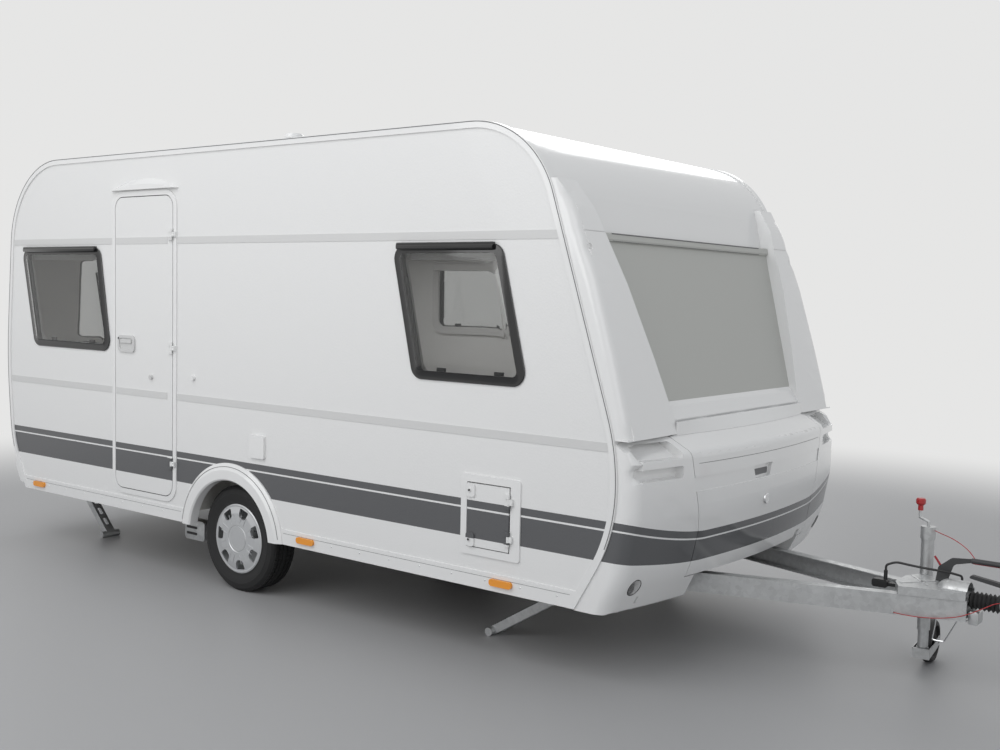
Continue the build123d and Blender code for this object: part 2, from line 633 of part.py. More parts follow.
# Axle tube with trailing arms, and the wheels with drums.
tube = Pos(AXLE_TUBE_X, 0, AXLE_TUBE_Z - 4) * Box(AXLE_TUBE_W, 2 * 790, AXLE_TUBE_W)
tube -= Pos(AXLE_TUBE_X, 0, AXLE_TUBE_Z - 4) * Box(AXLE_TUBE_W - 12, 2 * 790 + 9, AXLE_TUBE_W - 12)
STUB_R = 22
DRUM_FACE = 949
for side, s in SIDES.items():
    arm = across(outline([(AXLE_TUBE_X + 50, AXLE_TUBE_Z - 50, 40), (AXLE_TUBE_X + 50, AXLE_TUBE_Z + 42, 40),
                          (-42, WHEEL_R + 42, 40), (-42, WHEEL_R - 42, 40)]), s * 791, s * 835)
    arm += round_bar(0, s * 905, WHEEL_R, STUB_R, 142, "Y")
    tube += arm
    drum = round_bar(0, s * (DRUM_FACE - 35), WHEEL_R, 125, 70, "Y")
    drum -= round_bar(0, s * (DRUM_FACE - 49), WHEEL_R, 117, 80, "Y")
    drum -= round_bar(0, s * 920, WHEEL_R, STUB_R + 0.05, 300, "Y")
    y_in, y_out = WHEEL_Y - TYRE_WIDTH / 2, WHEEL_Y + TYRE_WIDTH / 2
    tread = [
        (RIM_R - 8, y_in + 18), (WHEEL_R - 45, y_in), (WHEEL_R - 11, y_in + 10), (WHEEL_R, y_in + 34),
        (WHEEL_R, y_out - 34), (WHEEL_R - 11, y_out - 10), (WHEEL_R - 45, y_out), (RIM_R - 8, y_out - 18),
        (RIM_R - 8, y_out - 30), (RIM_R + 30, y_out - 20), (RIM_R + 30, y_in + 20), (RIM_R - 8, y_in + 30),
    ]
    section = outline([(r, s * y) for r, y in tread])
    add(f"tyre_{side}", Pos(0, 0, WHEEL_R) * revolve(section, Axis.Y, 360))
    face_y = y_out - 19
    rim = round_bar(0, s * WHEEL_Y, WHEEL_R, RIM_R - 9, 2 * (face_y - WHEEL_Y), "Y")
    rim -= round_bar(0, s * WHEEL_Y, WHEEL_R, RIM_R - 15, TYRE_WIDTH, "Y")
    rim += round_bar(0, s * (DRUM_FACE + 4), WHEEL_R, RIM_R - 12, 8, "Y")
    rim -= round_bar(0, s * (DRUM_FACE + 4), WHEEL_R, STUB_R + 6, 9, "Y")
    rim += drum
    add(f"wheel_rim_{side}", rim)
    ring = [(0, 17), (HUB_DISC - 3, 17), (HUB_DISC - 1, 14), (HUB_DISC + 3, 14), (HUB_DISC + 6, 17), (150, 16),
            (188, 10), (196, 11), (203, 8), (203, 4), (196, 4), (196, 0), (186, 0), (186, 4), (0, 4)]
    cap = revolve(outline([(r, s * (face_y + d)) for r, d in ring]), Axis.Y, 360)
    for k in range(CAP_WINDOWS):
        window = across(outline([(-38, 180, 8), (38, 180, 8), (29, 126, 24), (-29, 126, 24)]),
                        s * (face_y - 9), s * (face_y + 30))
        cap -= Rot(0, CAP_FIRST + k * 360 / CAP_WINDOWS, 0) * window
    cap = Pos(0, 0, WHEEL_R) * cap
    add(f"hub_cap_{side}", cap)
    places[f"wheel_{side}_spin"] = (0, s * WHEEL_Y, WHEEL_R)

add("axle", tube)

# Corner steadies: a bracket under the chassis and a swinging leg with a rounded foot.
for name, pivot_x, foot_x, s in STEADIES:
    y = s * STEADY_Y
    ahead = 1 if foot_x > pivot_x else -1
    inner, outer = STEADY_W / 2 - 4, STEADY_W / 2 + 4
    bracket = block(pivot_x - 60, pivot_x + 60, y - outer - 6, y + outer + 6, low - 6, low)
    for side in (-1, 1):
        ear = across(rectangle(pivot_x - 30, pivot_x + 30, STEADY_PIVOT_Z - 25, low - 6, 0),
                     y + side * outer, y + side * (outer + 6))
        bracket += ear
    bracket += round_bar(pivot_x, y, STEADY_PIVOT_Z, 8, 2 * outer + 4, "Y")
    add("steady_brackets", bracket)
    drop = STEADY_PIVOT_Z - 22
    reach = abs(foot_x - pivot_x)
    length = hypot(drop, reach)
    leg = block(-20, length, -STEADY_W / 2, STEADY_W / 2, -22, 22)
    leg -= block(-29, length - 30, -STEADY_W / 2 + 4, STEADY_W / 2 - 4, -26, 18)
    leg -= round_bar(0, 0, 0, 8.05, STEADY_W + 9, "Y")
    for share in (0.28, 0.52, 0.76):
        leg -= Pos(share * length, 0, 10) * extrude(SlotOverall(60, 24), amount=20)
    foot = round_bar(length, 0, 0, 22, FOOT_W, "Y")
    leg = leg + foot
    tilt = degrees(atan2(drop, reach))
    leg = Rot(0, tilt, 0) * leg
    if ahead < 0:
        leg = Rot(0, 0, 180) * leg
    add(f"steady_leg_{name}", Pos(pivot_x, y, STEADY_PIVOT_Z) * leg)
    places[f"steady_{name}_swing"] = (pivot_x, y, STEADY_PIVOT_Z)

# Nose wheel with its clamp on the left drawbar beam.
def rod(points, radius):
    """A round rod through points, with a ball at each bend."""
    solid = None
    for start, end in zip(points, points[1:]):
        run = Vector(*end) - Vector(*start)
        piece = Plane(origin=start, z_dir=run) * Cylinder(radius, run.length, align=(Align.CENTER, Align.CENTER, Align.MIN))
        solid = piece if solid is None else solid + piece + Pos(*start) * Sphere(radius)
    return solid


jx, jy = JOCKEY_X, JOCKEY_Y
low_end, high_end = JOCKEY_TUBE
outer_tube = round_bar(jx, jy, (low_end + high_end) / 2, JOCKEY_OUTER, high_end - low_end)
outer_tube += round_bar(jx, jy, high_end - 10, JOCKEY_OUTER + 5, 60)
outer_tube -= round_bar(jx, jy, (low_end + high_end) / 2 - 8, JOCKEY_INNER + 0.5, high_end - low_end)
clamp = block(jx - 45, jx + 45, beam_y(jx) + 14, jy, 352, 412)
clamp += round_bar(jx, jy, 382, JOCKEY_OUTER + 8, 60)
clamp -= round_bar(jx, jy, 382, JOCKEY_OUTER, 90)
clamp -= Pos(jx, beam_y(jx), 0) * Rot(0, 0, -degrees(atan2(BEAM_SLOPE, 1))) * block(-200, 200, -200, 0, 0, 900)
add("jockey_outer_tube", outer_tube + clamp)
kx, ky, kz = KNOB
add("jockey_crank", rod([(jx, jy, high_end + 20), (jx, jy, high_end + 42), (kx, ky, kz - 34), (kx, ky, kz + 10)], 7))
knob = revolve(outline([(7, 0), (12.5, 0), (12.5, 24), (20, 30), (23, 36), (23, 52), (18, 59), (0, 59), (0, 10), (7, 10)]),
               Axis.Y, 360)
add("jockey_knob", Pos(kx, ky, kz) * Rot(90, 0, 0) * knob)
hub_top = JOCKEY_R + 1
inner_tube = round_bar(jx, jy, (hub_top + 2 + JOCKEY_INNER_TOP) / 2, JOCKEY_INNER, JOCKEY_INNER_TOP - hub_top - 2)
inner_tube -= round_bar(jx, jy, (hub_top + 18 + JOCKEY_INNER_TOP + 9) / 2, JOCKEY_INNER - 4, JOCKEY_INNER_TOP - hub_top - 9)
add("jockey_inner_tube", inner_tube)
turn = radians(JOCKEY_TURN)
fork_half = JOCKEY_W / 2 + 8
fork = round_bar(0, 0, hub_top - 24, 29, 48) + block(-38, -30, -fork_half - 4, fork_half + 4, 57, hub_top)
fork += block(-36, -26, -20, 20, 60, hub_top)
arm_ring = [(-34, 57), (-34, hub_top), (60, 112), (JOCKEY_TRAIL + 22, 132), (JOCKEY_TRAIL + 22, 86), (60, 70)]
for side in (-1, 1):
    fork += across(outline(arm_ring), side * fork_half, side * (fork_half + 4))
fork += round_bar(JOCKEY_TRAIL, 0, JOCKEY_R, 8, 2 * fork_half + 14, "Y")
aim = Pos(jx, jy, 0) * Rot(0, 0, JOCKEY_TURN)
add("jockey_fork", aim * fork)
half, deep = JOCKEY_W / 2, 13
wheel = [(8.1, -half), (8.1, half), (24, half), (28, deep), (74, deep), (78, half - 1), (96, half - 3),
         (JOCKEY_R, 16), (JOCKEY_R, -16), (96, 3 - half), (78, 1 - half), (74, -deep), (28, -deep), (24, -half)]
add("jockey_wheel", aim * Pos(JOCKEY_TRAIL, 0, JOCKEY_R) * revolve(outline(wheel), Axis.Y, 360))
places["jockey_slide"] = (jx, jy, 400)
places["jockey_castor"] = (jx, jy, hub_top)
places["jockey_wheel_spin"] = (jx + JOCKEY_TRAIL * cos(turn), jy + JOCKEY_TRAIL * sin(turn), JOCKEY_R)
places["jockey_wheel_axis"] = (-sin(turn), cos(turn), 0)

# Overrun device: housing between the beams, cover plate, bellows, draw tube and hitch.
housing = block(HOUSING[0], HOUSING[1], -COUPLING_W + 1, COUPLING_W - 1, low + 10, high)
housing += round_bar((HOUSING[0] + HOUSING[1]) / 2, 0, TUBE_Z, COUPLING_W - 1, HOUSING[1] - HOUSING[0], "X")
housing -= round_bar(HOUSING[1] - 100, 0, TUBE_Z, TUBE_R, 202, "X")
add("overrun_housing", housing)
rear, front_x, top = COVER
half_plan = [(rear, 70), (rear + 42, beam_y(rear + 42) + 8), (front_x, beam_y(front_x) + 8)]
ring = half_plan + [(x, -y) for x, y in reversed(half_plan)]
tray = make_face(Polyline(*ring, close=True))
shrunk = [(rear + 10, 62), (rear + 48, beam_y(rear + 48) - 2), (front_x + 20, beam_y(front_x + 20) - 2)]
shrunk += [(x, -y) for x, y in reversed(shrunk)]
cover = upright(tray, high, top)
dome_x, dome_z, dome_r = DOME
for radius, bore in ((dome_r, False), (dome_r - 4, True)):
    shape = Pos(dome_x, 0, dome_z) * Sphere(radius)
    shape += round_bar((dome_x + front_x) / 2 + (9 if bore else 0), 0, dome_z, radius, front_x - dome_x + (18 if bore else 0), "X")
    cover = cover - shape if bore else cover + shape
cover -= upright(make_face(Polyline(*shrunk, close=True)), 0, top - 4)
cover &= block(0, front_x, -FAR, FAR, high, FAR)
add("drawbar_cover", cover)
x0, x1, r_out, r_in = BELLOWS
folds = 7
pitch = (x1 - x0) / folds
ring = [(x0, TUBE_R + 0.5)]
for k in range(folds):
    ring += [(x0 + k * pitch, r_in), (x0 + (k + 0.5) * pitch, r_out)]
ring += [(x1, r_in), (x1, TUBE_R + 0.5)]
bellows = revolve(Plane.XY * make_face(Polyline(*ring, close=True)), Axis.X, 360)
add("bellows", Pos(0, 0, TUBE_Z) * bellows)
draw_tube = round_bar((HOUSING[1] - 196 + 3990) / 2, 0, TUBE_Z, TUBE_R - 0.05, 3990 - HOUSING[1] + 196, "X")
head = round_bar(3990, 0, TUBE_Z, 32, 90, "X")
head += across(outline([(3960, 388, 10), (3960, 458, 10), (4080, 458, 20), (4130, 440, 25), (HEAD_TIP, 405, 8),
                        (HEAD_TIP, 378, 0), (4000, 378, 0)]), -34, 34)
head += round_bar(BALL_X, 0, 390, 38, 44)
head -= round_bar(3975, 0, TUBE_Z, TUBE_R, 62, "X")
head -= Pos(BALL_X, 0, BALL_Z) * Sphere(BALL_R) + round_bar(BALL_X, 0, BALL_Z - 30, BALL_R, 60)
places["ball_socket"] = (BALL_X, 0, BALL_Z - 10)
lever = across(outline([(4010, 458, 0), (4064, 458, 0), (4064, 482, 10), (3990, 514, 20), (3800, 540, 10), (3787, 526, 6),
                        (3970, 496, 30)]), -14, 14)
add("coupling_handle", lever)
add("coupling_head", head + draw_tube)
brake = across(outline([(3620, top, 0), (3672, top, 0), (3700, 560, 30), (3780, 580, 10), (3780, 598, 0), (3690, 590, 30),
                        (3630, 540, 20)]), BRAKE_Y - 4, BRAKE_Y + 4)
brake += round_bar(3880, BRAKE_Y, 589, 13, 202, "X")
add("handbrake_lever", brake)


def cord(points, thick):
    """A held cord: straight runs with tangent arcs at the bends."""
    runs = [Vector(*b) - Vector(*a) for a, b in zip(points, points[1:])]
    radii = [0.45 * min(a.length, b.length) / tan(radians(a.get_angle(b)) / 2) for a, b in zip(runs, runs[1:])]
    path = FilletPolyline(*points, radius=radii)
    return sweep(Plane(origin=path @ 0, z_dir=path % 0) * Circle(thick / 2), path=path)


# Plug of the towing lead in its holder, the lead and the red breakaway cable.
plug = rectangle(3347, 3421, 414, 452, 12)
plug = across(plug, -19, 19) + block(3415, rear, -12, 12, 424, 440)
plug += round_bar(3407, 0, 474, 9, 46)
add("lead_plug", plug)
gland_x, gland_y = GLAND
add("drawbar_cover", round_bar(gland_x, gland_y, top + 6, 9, 12))
add("lead", cord([(3407, 0, 497), (3407, 0, 522), (3450, 8, 542), (3528, 16, 534), (3608, 26, 529), (3680, 42, 525),
                  (gland_x, gland_y, 508), (gland_x, gland_y, top + 12)], LEAD))
eye_x, eye_y, eye_z = CABLE_EYE
upper = cord([(jx + JOCKEY_OUTER + 5, jy - 8, 684), (3610, 150, 680), (3662, 128, 671), (3712, 106, 655),
              (3757, 90, 630), (3788, BRAKE_Y + 10, 600)], CABLE)
lower = cord([(eye_x + 7, eye_y - 5, eye_z), (3555, -157, 340), (3612, -143, 338), (3668, -126, 340),
              (3724, -107, 347), (3780, -88, 360), (3833, -70, 386), (3877, -56, 412), (3915, -48, 436),
              (3943.5, -27, 440)], CABLE)
add("breakaway_cable", upper, lower)

middle_low = min(solid.bounding_box().min.X for solids in pieces.values() for solid in solids)
middle_high = max(solid.bounding_box().max.X for solids in pieces.values() for solid in solids)
SHIFT = -(middle_low + middle_high) / 2

for name, solids in pieces.items():
    part = solids[0] if len(solids) == 1 else Compound(solids)
    part = Pos(SHIFT, 0, 0) * part
    part.label = name
    export_step(part, f"parts/{name}.step")
for name, (x, y, z) in places.items():
    if not name.endswith("_axis"):
        x += SHIFT
    print(f"place {name} {x:.3f} {y:.3f} {z:.3f}")
print(f"shift {SHIFT:.3f}")
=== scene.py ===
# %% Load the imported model
from math import atan2, cos, pi, radians, sin, tan

import bmesh
import bpy
from mathutils import Matrix, Vector
from mathutils.bvhtree import BVHTree
from mathutils.geometry import convex_hull_2d


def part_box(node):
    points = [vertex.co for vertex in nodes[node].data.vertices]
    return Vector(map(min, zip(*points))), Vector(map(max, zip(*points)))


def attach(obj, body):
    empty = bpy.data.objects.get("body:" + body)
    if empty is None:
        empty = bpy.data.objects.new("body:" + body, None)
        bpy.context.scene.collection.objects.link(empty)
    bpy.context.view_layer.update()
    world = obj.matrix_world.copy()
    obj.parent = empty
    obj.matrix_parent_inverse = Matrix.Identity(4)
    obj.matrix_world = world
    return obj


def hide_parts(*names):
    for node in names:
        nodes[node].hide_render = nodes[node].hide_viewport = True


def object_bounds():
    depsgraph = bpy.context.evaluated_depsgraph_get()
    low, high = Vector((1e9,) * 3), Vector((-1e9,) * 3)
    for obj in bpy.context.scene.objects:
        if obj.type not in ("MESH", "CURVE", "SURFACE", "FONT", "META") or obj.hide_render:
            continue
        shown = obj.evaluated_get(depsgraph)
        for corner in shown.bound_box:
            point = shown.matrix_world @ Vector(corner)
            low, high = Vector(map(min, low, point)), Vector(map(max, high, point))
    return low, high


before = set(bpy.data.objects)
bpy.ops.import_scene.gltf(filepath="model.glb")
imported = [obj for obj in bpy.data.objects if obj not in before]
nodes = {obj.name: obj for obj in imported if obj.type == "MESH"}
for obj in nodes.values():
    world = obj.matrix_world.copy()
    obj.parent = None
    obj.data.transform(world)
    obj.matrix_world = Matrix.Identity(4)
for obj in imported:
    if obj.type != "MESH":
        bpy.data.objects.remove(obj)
cad_low, cad_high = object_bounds()
tyre_low, tyre_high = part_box("tyre_right")
AXLE_X = (tyre_low.x + tyre_high.x) / 2
print("axle at x", round(AXLE_X, 4))


def along(x):
    """A place along the caravan, given in metres ahead of the axle."""
    return AXLE_X + x


# %% [markdown]
# The camera stands where the photographer stood: ahead of the nose, on the door side, at the eye
# height of a standing person. Its place and turn were solved from straight edges of the
# body. A lens of about 41 mm on a 36 mm sensor gives the same framing.

# %% Camera
CAMERA_PLACE = Vector((along(5.2046), -5.4139, 1.7775))
CAMERA_YAW, CAMERA_PITCH, CAMERA_ROLL = radians(37.444), radians(-4.119), radians(1.285)
CAMERA_LENS = 41.208

look = Vector((-sin(CAMERA_YAW) * cos(CAMERA_PITCH), cos(CAMERA_YAW) * cos(CAMERA_PITCH), sin(CAMERA_PITCH)))
level_right = Vector((cos(CAMERA_YAW), sin(CAMERA_YAW), 0))
level_up = level_right.cross(look)
right = cos(CAMERA_ROLL) * level_right + sin(CAMERA_ROLL) * level_up
up = -sin(CAMERA_ROLL) * level_right + cos(CAMERA_ROLL) * level_up
camera_data = bpy.data.cameras.new("camera")
camera_data.lens = CAMERA_LENS
camera_data.sensor_width = 36.0
camera_data.clip_end = 200
camera = bpy.data.objects.new("camera", camera_data)
turn = Matrix((right, up, -look)).transposed().to_4x4()
camera.matrix_world = Matrix.Translation(CAMERA_PLACE) @ turn
bpy.context.scene.collection.objects.link(camera)
bpy.context.scene.camera = camera

# %% [markdown]
# The hall floor is a plain grey sheet that fades into the pale backdrop, like a studio cove. The
# fade is painted by distance from the middle, so no edge shows from any side. The world gives the
# backdrop to the camera, to mirrors and to glass alike.

# %% Floor, backdrop and lights
FLOOR_SIZE = 60.0
FADE_FROM, FADE_TO = 4.6, 8.5
FLOOR_GREY = (0.405, 0.405, 0.408, 1)
BACKDROP = (0.79, 0.79, 0.785, 1)


def new_material(name):
    material = bpy.data.materials.new(name)
    material.use_nodes = True
    material.node_tree.nodes.clear()
    return material, material.node_tree.nodes, material.node_tree.links


def link_object(name, mesh):
    obj = bpy.data.objects.new(name, mesh)
    bpy.context.scene.collection.objects.link(obj)
    return obj


def mesh_from(name, vertices, faces):
    mesh = bpy.data.meshes.new(name)
    mesh.from_pydata([tuple(v) for v in vertices], [], faces)
    mesh.update()
    return link_object(name, mesh)


half = FLOOR_SIZE / 2
floor = mesh_from("hall_floor", [(-half, -half, 0), (half, -half, 0), (half, half, 0), (-half, half, 0)],
                  [(0, 1, 2, 3)])
material, n, l = new_material("hall_floor")
where = n.new("ShaderNodeTexCoord")
distance = n.new("ShaderNodeVectorMath")
distance.operation = "LENGTH"
fade = n.new("ShaderNodeMapRange")
fade.interpolation_type = "SMOOTHSTEP"
fade.inputs["From Min"].default_value = FADE_FROM
fade.inputs["From Max"].default_value = FADE_TO
paint = n.new("ShaderNodeBsdfPrincipled")
paint.inputs["Base Color"].default_value = FLOOR_GREY
paint.inputs["Roughness"].default_value = 0.45
paint.inputs["Specular IOR Level"].default_value = 0.35
cove = n.new("ShaderNodeEmission")
cove.inputs["Color"].default_value = BACKDROP
mix = n.new("ShaderNodeMixShader")
out = n.new("ShaderNodeOutputMaterial")
l.new(where.outputs["Object"], distance.inputs[0])
l.new(distance.outputs["Value"], fade.inputs["Value"])
l.new(fade.outputs["Result"], mix.inputs[0])
l.new(paint.outputs[0], mix.inputs[1])
l.new(cove.outputs[0], mix.inputs[2])
l.new(mix.outputs[0], out.inputs[0])
floor.data.materials.append(material)

WORLD_LIGHT = 0.50
world = bpy.data.worlds.new("hall")
world.use_nodes = True
bpy.context.scene.world = world
n, l = world.node_tree.nodes, world.node_tree.links
n.clear()
path = n.new("ShaderNodeLightPath")
seen = n.new("ShaderNodeMath")
seen.operation = "MAXIMUM"
seen_too = n.new("ShaderNodeMath")
seen_too.operation = "MAXIMUM"
l.new(path.outputs["Is Camera Ray"], seen.inputs[0])
l.new(path.outputs["Is Glossy Ray"], seen.inputs[1])
l.new(seen.outputs[0], seen_too.inputs[0])
l.new(path.outputs["Is Transmission Ray"], seen_too.inputs[1])
light = n.new("ShaderNodeBackground")
light.inputs["Color"].default_value = (0.93, 0.96, 1.0, 1)
light.inputs["Strength"].default_value = WORLD_LIGHT
shown = n.new("ShaderNodeBackground")
shown.inputs["Color"].default_value = BACKDROP
shown.inputs["Strength"].default_value = 1.0
mix = n.new("ShaderNodeMixShader")
out = n.new("ShaderNodeOutputWorld")
l.new(seen_too.outputs[0], mix.inputs[0])
l.new(light.outputs[0], mix.inputs[1])
l.new(shown.outputs[0], mix.inputs[2])
l.new(mix.outputs[0], out.inputs[0])

LAMPS = [
    # name, place, aim, size, watts
    ("roof_lights", (along(0.0), -6.2, 5.4), (along(0.0), 0.0, 1.0), 7.0, 245),
    ("nose_light", (along(7.5), -3.5, 4.2), (along(2.4), 0.0, 1.0), 4.0, 40),
    ("far_light", (along(-2.0), 6.5, 5.0), (along(0.0), 0.0, 1.0), 5.0, 150),
    ("cabin_light", (along(0.2), 0.0, 2.02), (along(0.2), 0.1, 0.5), 1.2, 13),
]
for name, place, aim, size, watts in LAMPS:
    lamp = bpy.data.lights.new(name, "AREA")
    lamp.size = size
    lamp.energy = watts
    obj = bpy.data.objects.new(name, lamp)
    obj.location = place
    obj.rotation_euler = (Vector(aim) - Vector(place)).to_track_quat("-Z", "Y").to_euler()
    bpy.context.scene.collection.objects.link(obj)

scene = bpy.context.scene
scene.view_settings.view_transform = "Standard"

# %% [markdown]
# Most finishes are one principled shader whose colour or bump comes from a pattern on the object's
# own coordinates, so a pattern stays on its panel when a door opens. A small helper builds the
# shader, and each finish below adds what is special about it.

# %% Helpers for finishes


def principled(name, color, roughness=0.4, metallic=0.0, coat=0.0, specular=0.5):
    material, n, l = new_material(name)
    shader = n.new("ShaderNodeBsdfPrincipled")
    shader.inputs["Base Color"].default_value = (*color, 1)
    shader.inputs["Roughness"].default_value = roughness
    shader.inputs["Metallic"].default_value = metallic
    shader.inputs["Coat Weight"].default_value = coat
    shader.inputs["Coat Roughness"].default_value = 0.06
    shader.inputs["Specular IOR Level"].default_value = specular
    out = n.new("ShaderNodeOutputMaterial")
    l.new(shader.outputs[0], out.inputs[0])
    return material, n, l, shader


def place_of(n):
    return n.new("ShaderNodeTexCoord").outputs["Object"]


def math(n, l, operation, a, b=None, c=None):
    node = n.new("ShaderNodeMath")
    node.operation = operation
    for i, value in enumerate((a, b, c)):
        if value is None:
            continue
        if isinstance(value, (int, float)):
            node.inputs[i].default_value = value
        else:
            l.new(value, node.inputs[i])
    return node.outputs[0]


def noise(n, l, scale, detail=3.0, vector=None, stretch=None):
    node = n.new("ShaderNodeTexNoise")
    node.inputs["Scale"].default_value = scale
    node.inputs["Detail"].default_value = detail
    source = vector or place_of(n)
    if stretch:
        mapping = n.new("ShaderNodeMapping")
        mapping.inputs["Scale"].default_value = stretch
        l.new(source, mapping.inputs[0])
        source = mapping.outputs[0]
    l.new(source, node.inputs["Vector"])
    return node.outputs["Fac"]


def bump(n, l, shader, height, strength, distance):
    node = n.new("ShaderNodeBump")
    node.inputs["Strength"].default_value = strength
    node.inputs["Distance"].default_value = distance
    l.new(height, node.inputs["Height"])
    l.new(node.outputs[0], shader.inputs["Normal"])
    return node


def mix_color(n, l, factor, a, b):
    node = n.new("ShaderNodeMix")
    node.data_type = "RGBA"
    for socket, value in ((node.inputs[0], factor), (node.inputs[6], a), (node.inputs[7], b)):
        if isinstance(value, tuple):
            socket.default_value = (*value, 1)
        elif isinstance(value, (int, float)):
            socket.default_value = value
        else:
            l.new(value, socket)
    return node.outputs[2]


def within(n, l, value, low, high):
    above = math(n, l, "GREATER_THAN", value, low)
    below = math(n, l, "LESS_THAN", value, high)
    return math(n, l, "MULTIPLY", above, below)


def dress(node, material):
    """Gives a CAD node its finish."""
    nodes[node].data.materials.clear()
    nodes[node].data.materials.append(material)


# %% [markdown]
# The side skin is white stucco sheet: aluminium with a fine hammered relief that sparkles. The dark
# stripe with its white pinstripe is a film on that sheet, so it keeps the relief. Both are painted
# by height above the floor, which makes them run on across the door and the service flap.

# %% Side skin with its stripe
STRIPE_LOW, STRIPE_HIGH = 0.596, 0.779
PIN_LOW, PIN_HIGH = 0.734, 0.743
FILM_GREY = (0.105, 0.107, 0.112)
SKIN_WHITE = (0.80, 0.80, 0.795)
BELT_GREY = (0.66, 0.66, 0.655)
BELT_LOWS, BELT_TALL = (1.088, 2.026), 0.040
DOOR_FACE = 1.1592


def stucco(name, base, striped):
    material, n, l, shader = principled(name, base, 0.32, coat=0.15)
    place = place_of(n)
    cells = n.new("ShaderNodeTexVoronoi")
    cells.feature = "SMOOTH_F1"
    cells.inputs["Scale"].default_value = 105
    l.new(place, cells.inputs["Vector"])
    grain = noise(n, l, 240, 2, place)
    height = math(n, l, "ADD", cells.outputs["Distance"], math(n, l, "MULTIPLY", grain, 0.35))
    bump(n, l, shader, height, 0.22, 0.0016)
    if striped:
        split = n.new("ShaderNodeSeparateXYZ")
        l.new(place, split.inputs[0])
        z = split.outputs[2]
        band = within(n, l, z, STRIPE_LOW, STRIPE_HIGH)
        pin = within(n, l, z, PIN_LOW, PIN_HIGH)
        film = math(n, l, "SUBTRACT", band, pin)
        belts = math(n, l, "ADD", *[within(n, l, z, low, low + BELT_TALL) for low in BELT_LOWS])
        proud = math(n, l, "GREATER_THAN", math(n, l, "ABSOLUTE", split.outputs[1]), DOOR_FACE)
        painted = mix_color(n, l, film, base, FILM_GREY)
        painted = mix_color(n, l, math(n, l, "MULTIPLY", belts, proud), painted, BELT_GREY)
        l.new(painted, shader.inputs["Base Color"])
    return material


skin = stucco("stucco_skin", SKIN_WHITE, True)
for node in ("side_wall_right", "side_wall_left", "door_leaf", "service_flap"):
    dress(node, skin)

# %% [markdown]
# The nose, roof and mouldings are smooth glossy plastic. On the nose the stripe dips towards the
# middle like a smile, so its edges are worked out from the distance to the centre line.

# %% Gloss mouldings
GLOSS_WHITE = (0.82, 0.82, 0.815)
NOSE_STRIPE = ((0.688, 0.779), (0.543, 0.596))
SMILE_FROM, SMILE_TO = 0.60, 1.15


def gloss(name, base, striped=False):
    material, n, l, shader = principled(name, base, 0.16, coat=0.5)
    place = place_of(n)
    waves = noise(n, l, 2.2, 2, place)
    bump(n, l, shader, waves, 0.05, 0.004)
    if striped:
        split = n.new("ShaderNodeSeparateXYZ")
        l.new(place, split.inputs[0])
        y, z = math(n, l, "ABSOLUTE", split.outputs[1]), split.outputs[2]
        share = n.new("ShaderNodeMapRange")
        share.inputs["From Min"].default_value = SMILE_FROM
        share.inputs["From Max"].default_value = SMILE_TO
        l.new(y, share.inputs["Value"])
        curve = math(n, l, "POWER", share.outputs[0], 1.5)
        edges = []
        for middle, side in NOSE_STRIPE:
            edges.append(math(n, l, "ADD", math(n, l, "MULTIPLY", curve, side - middle), middle))
        top, bottom = edges
        film = math(n, l, "MULTIPLY", math(n, l, "LESS_THAN", z, top), math(n, l, "GREATER_THAN", z, bottom))
        below = math(n, l, "SUBTRACT", top, z)
        pin = within(n, l, below, 0.034, 0.042)
        film = math(n, l, "SUBTRACT", film, pin)
        l.new(mix_color(n, l, film, base, FILM_GREY), shader.inputs["Base Color"])
    return material


moulding = gloss("gloss_white", GLOSS_WHITE)
nose_moulding = gloss("gloss_white_striped", GLOSS_WHITE, True)
for node in ("roof", "rear_wall", "front_wall", "nose_pillars", "nose_apron", "edge_rails", "wheel_arches",
             "door_canopy", "flap_frame", "door_frame", "sills", "wall_fittings", "roof_hatches", "rear_bumper"):
    dress(node, moulding)
for node in ("nose_corners", "locker_lid"):
    dress(node, nose_moulding)

# %% Satin grey front panel
panel, n, l, shader = principled("front_panel_grey", (0.475, 0.48, 0.455), 0.42)
bump(n, l, shader, noise(n, l, 900, 2), 0.08, 0.0006)
dress("front_panel", panel)

# %% [markdown]
# The drawbar and the chassis are hot-dip galvanised. The zinc freezes in crystals, so the sheen
# changes from patch to patch. A Voronoi pattern gives each patch its own grey and roughness.

# %% Galvanised steel


def galvanised(name, base=(0.58, 0.59, 0.595), scale=55):
    material, n, l, shader = principled(name, base, 0.42, metallic=0.7)
    cells = n.new("ShaderNodeTexVoronoi")
    cells.inputs["Scale"].default_value = scale
    l.new(place_of(n), cells.inputs["Vector"])
    patch = n.new("ShaderNodeSeparateColor")
    l.new(cells.outputs["Color"], patch.inputs[0])
    cloud = noise(n, l, 9, 4)
    tone = math(n, l, "ADD", math(n, l, "MULTIPLY", patch.outputs[0], 0.22), math(n, l, "MULTIPLY", cloud, 0.5))
    dark = tuple(c * 0.72 for c in base)
    light_tone = tuple(min(1.0, c * 1.3) for c in base)
    l.new(mix_color(n, l, tone, dark, light_tone), shader.inputs["Base Color"])
    rough = math(n, l, "ADD", math(n, l, "MULTIPLY", patch.outputs[1], 0.2), 0.34)
    l.new(rough, shader.inputs["Roughness"])
    bump(n, l, shader, cloud, 0.1, 0.002)
    return material


zinc = galvanised("galvanised_steel")
for node in list(nodes):
    if node in ("chassis", "drawbar_beams", "axle", "steady_brackets", "drawbar_cover", "overrun_housing",
                "coupling_head") or node.startswith(("steady_leg", "jockey_outer", "jockey_inner",
                                                     "jockey_fork", "jockey_crank")):
        dress(node, zinc)

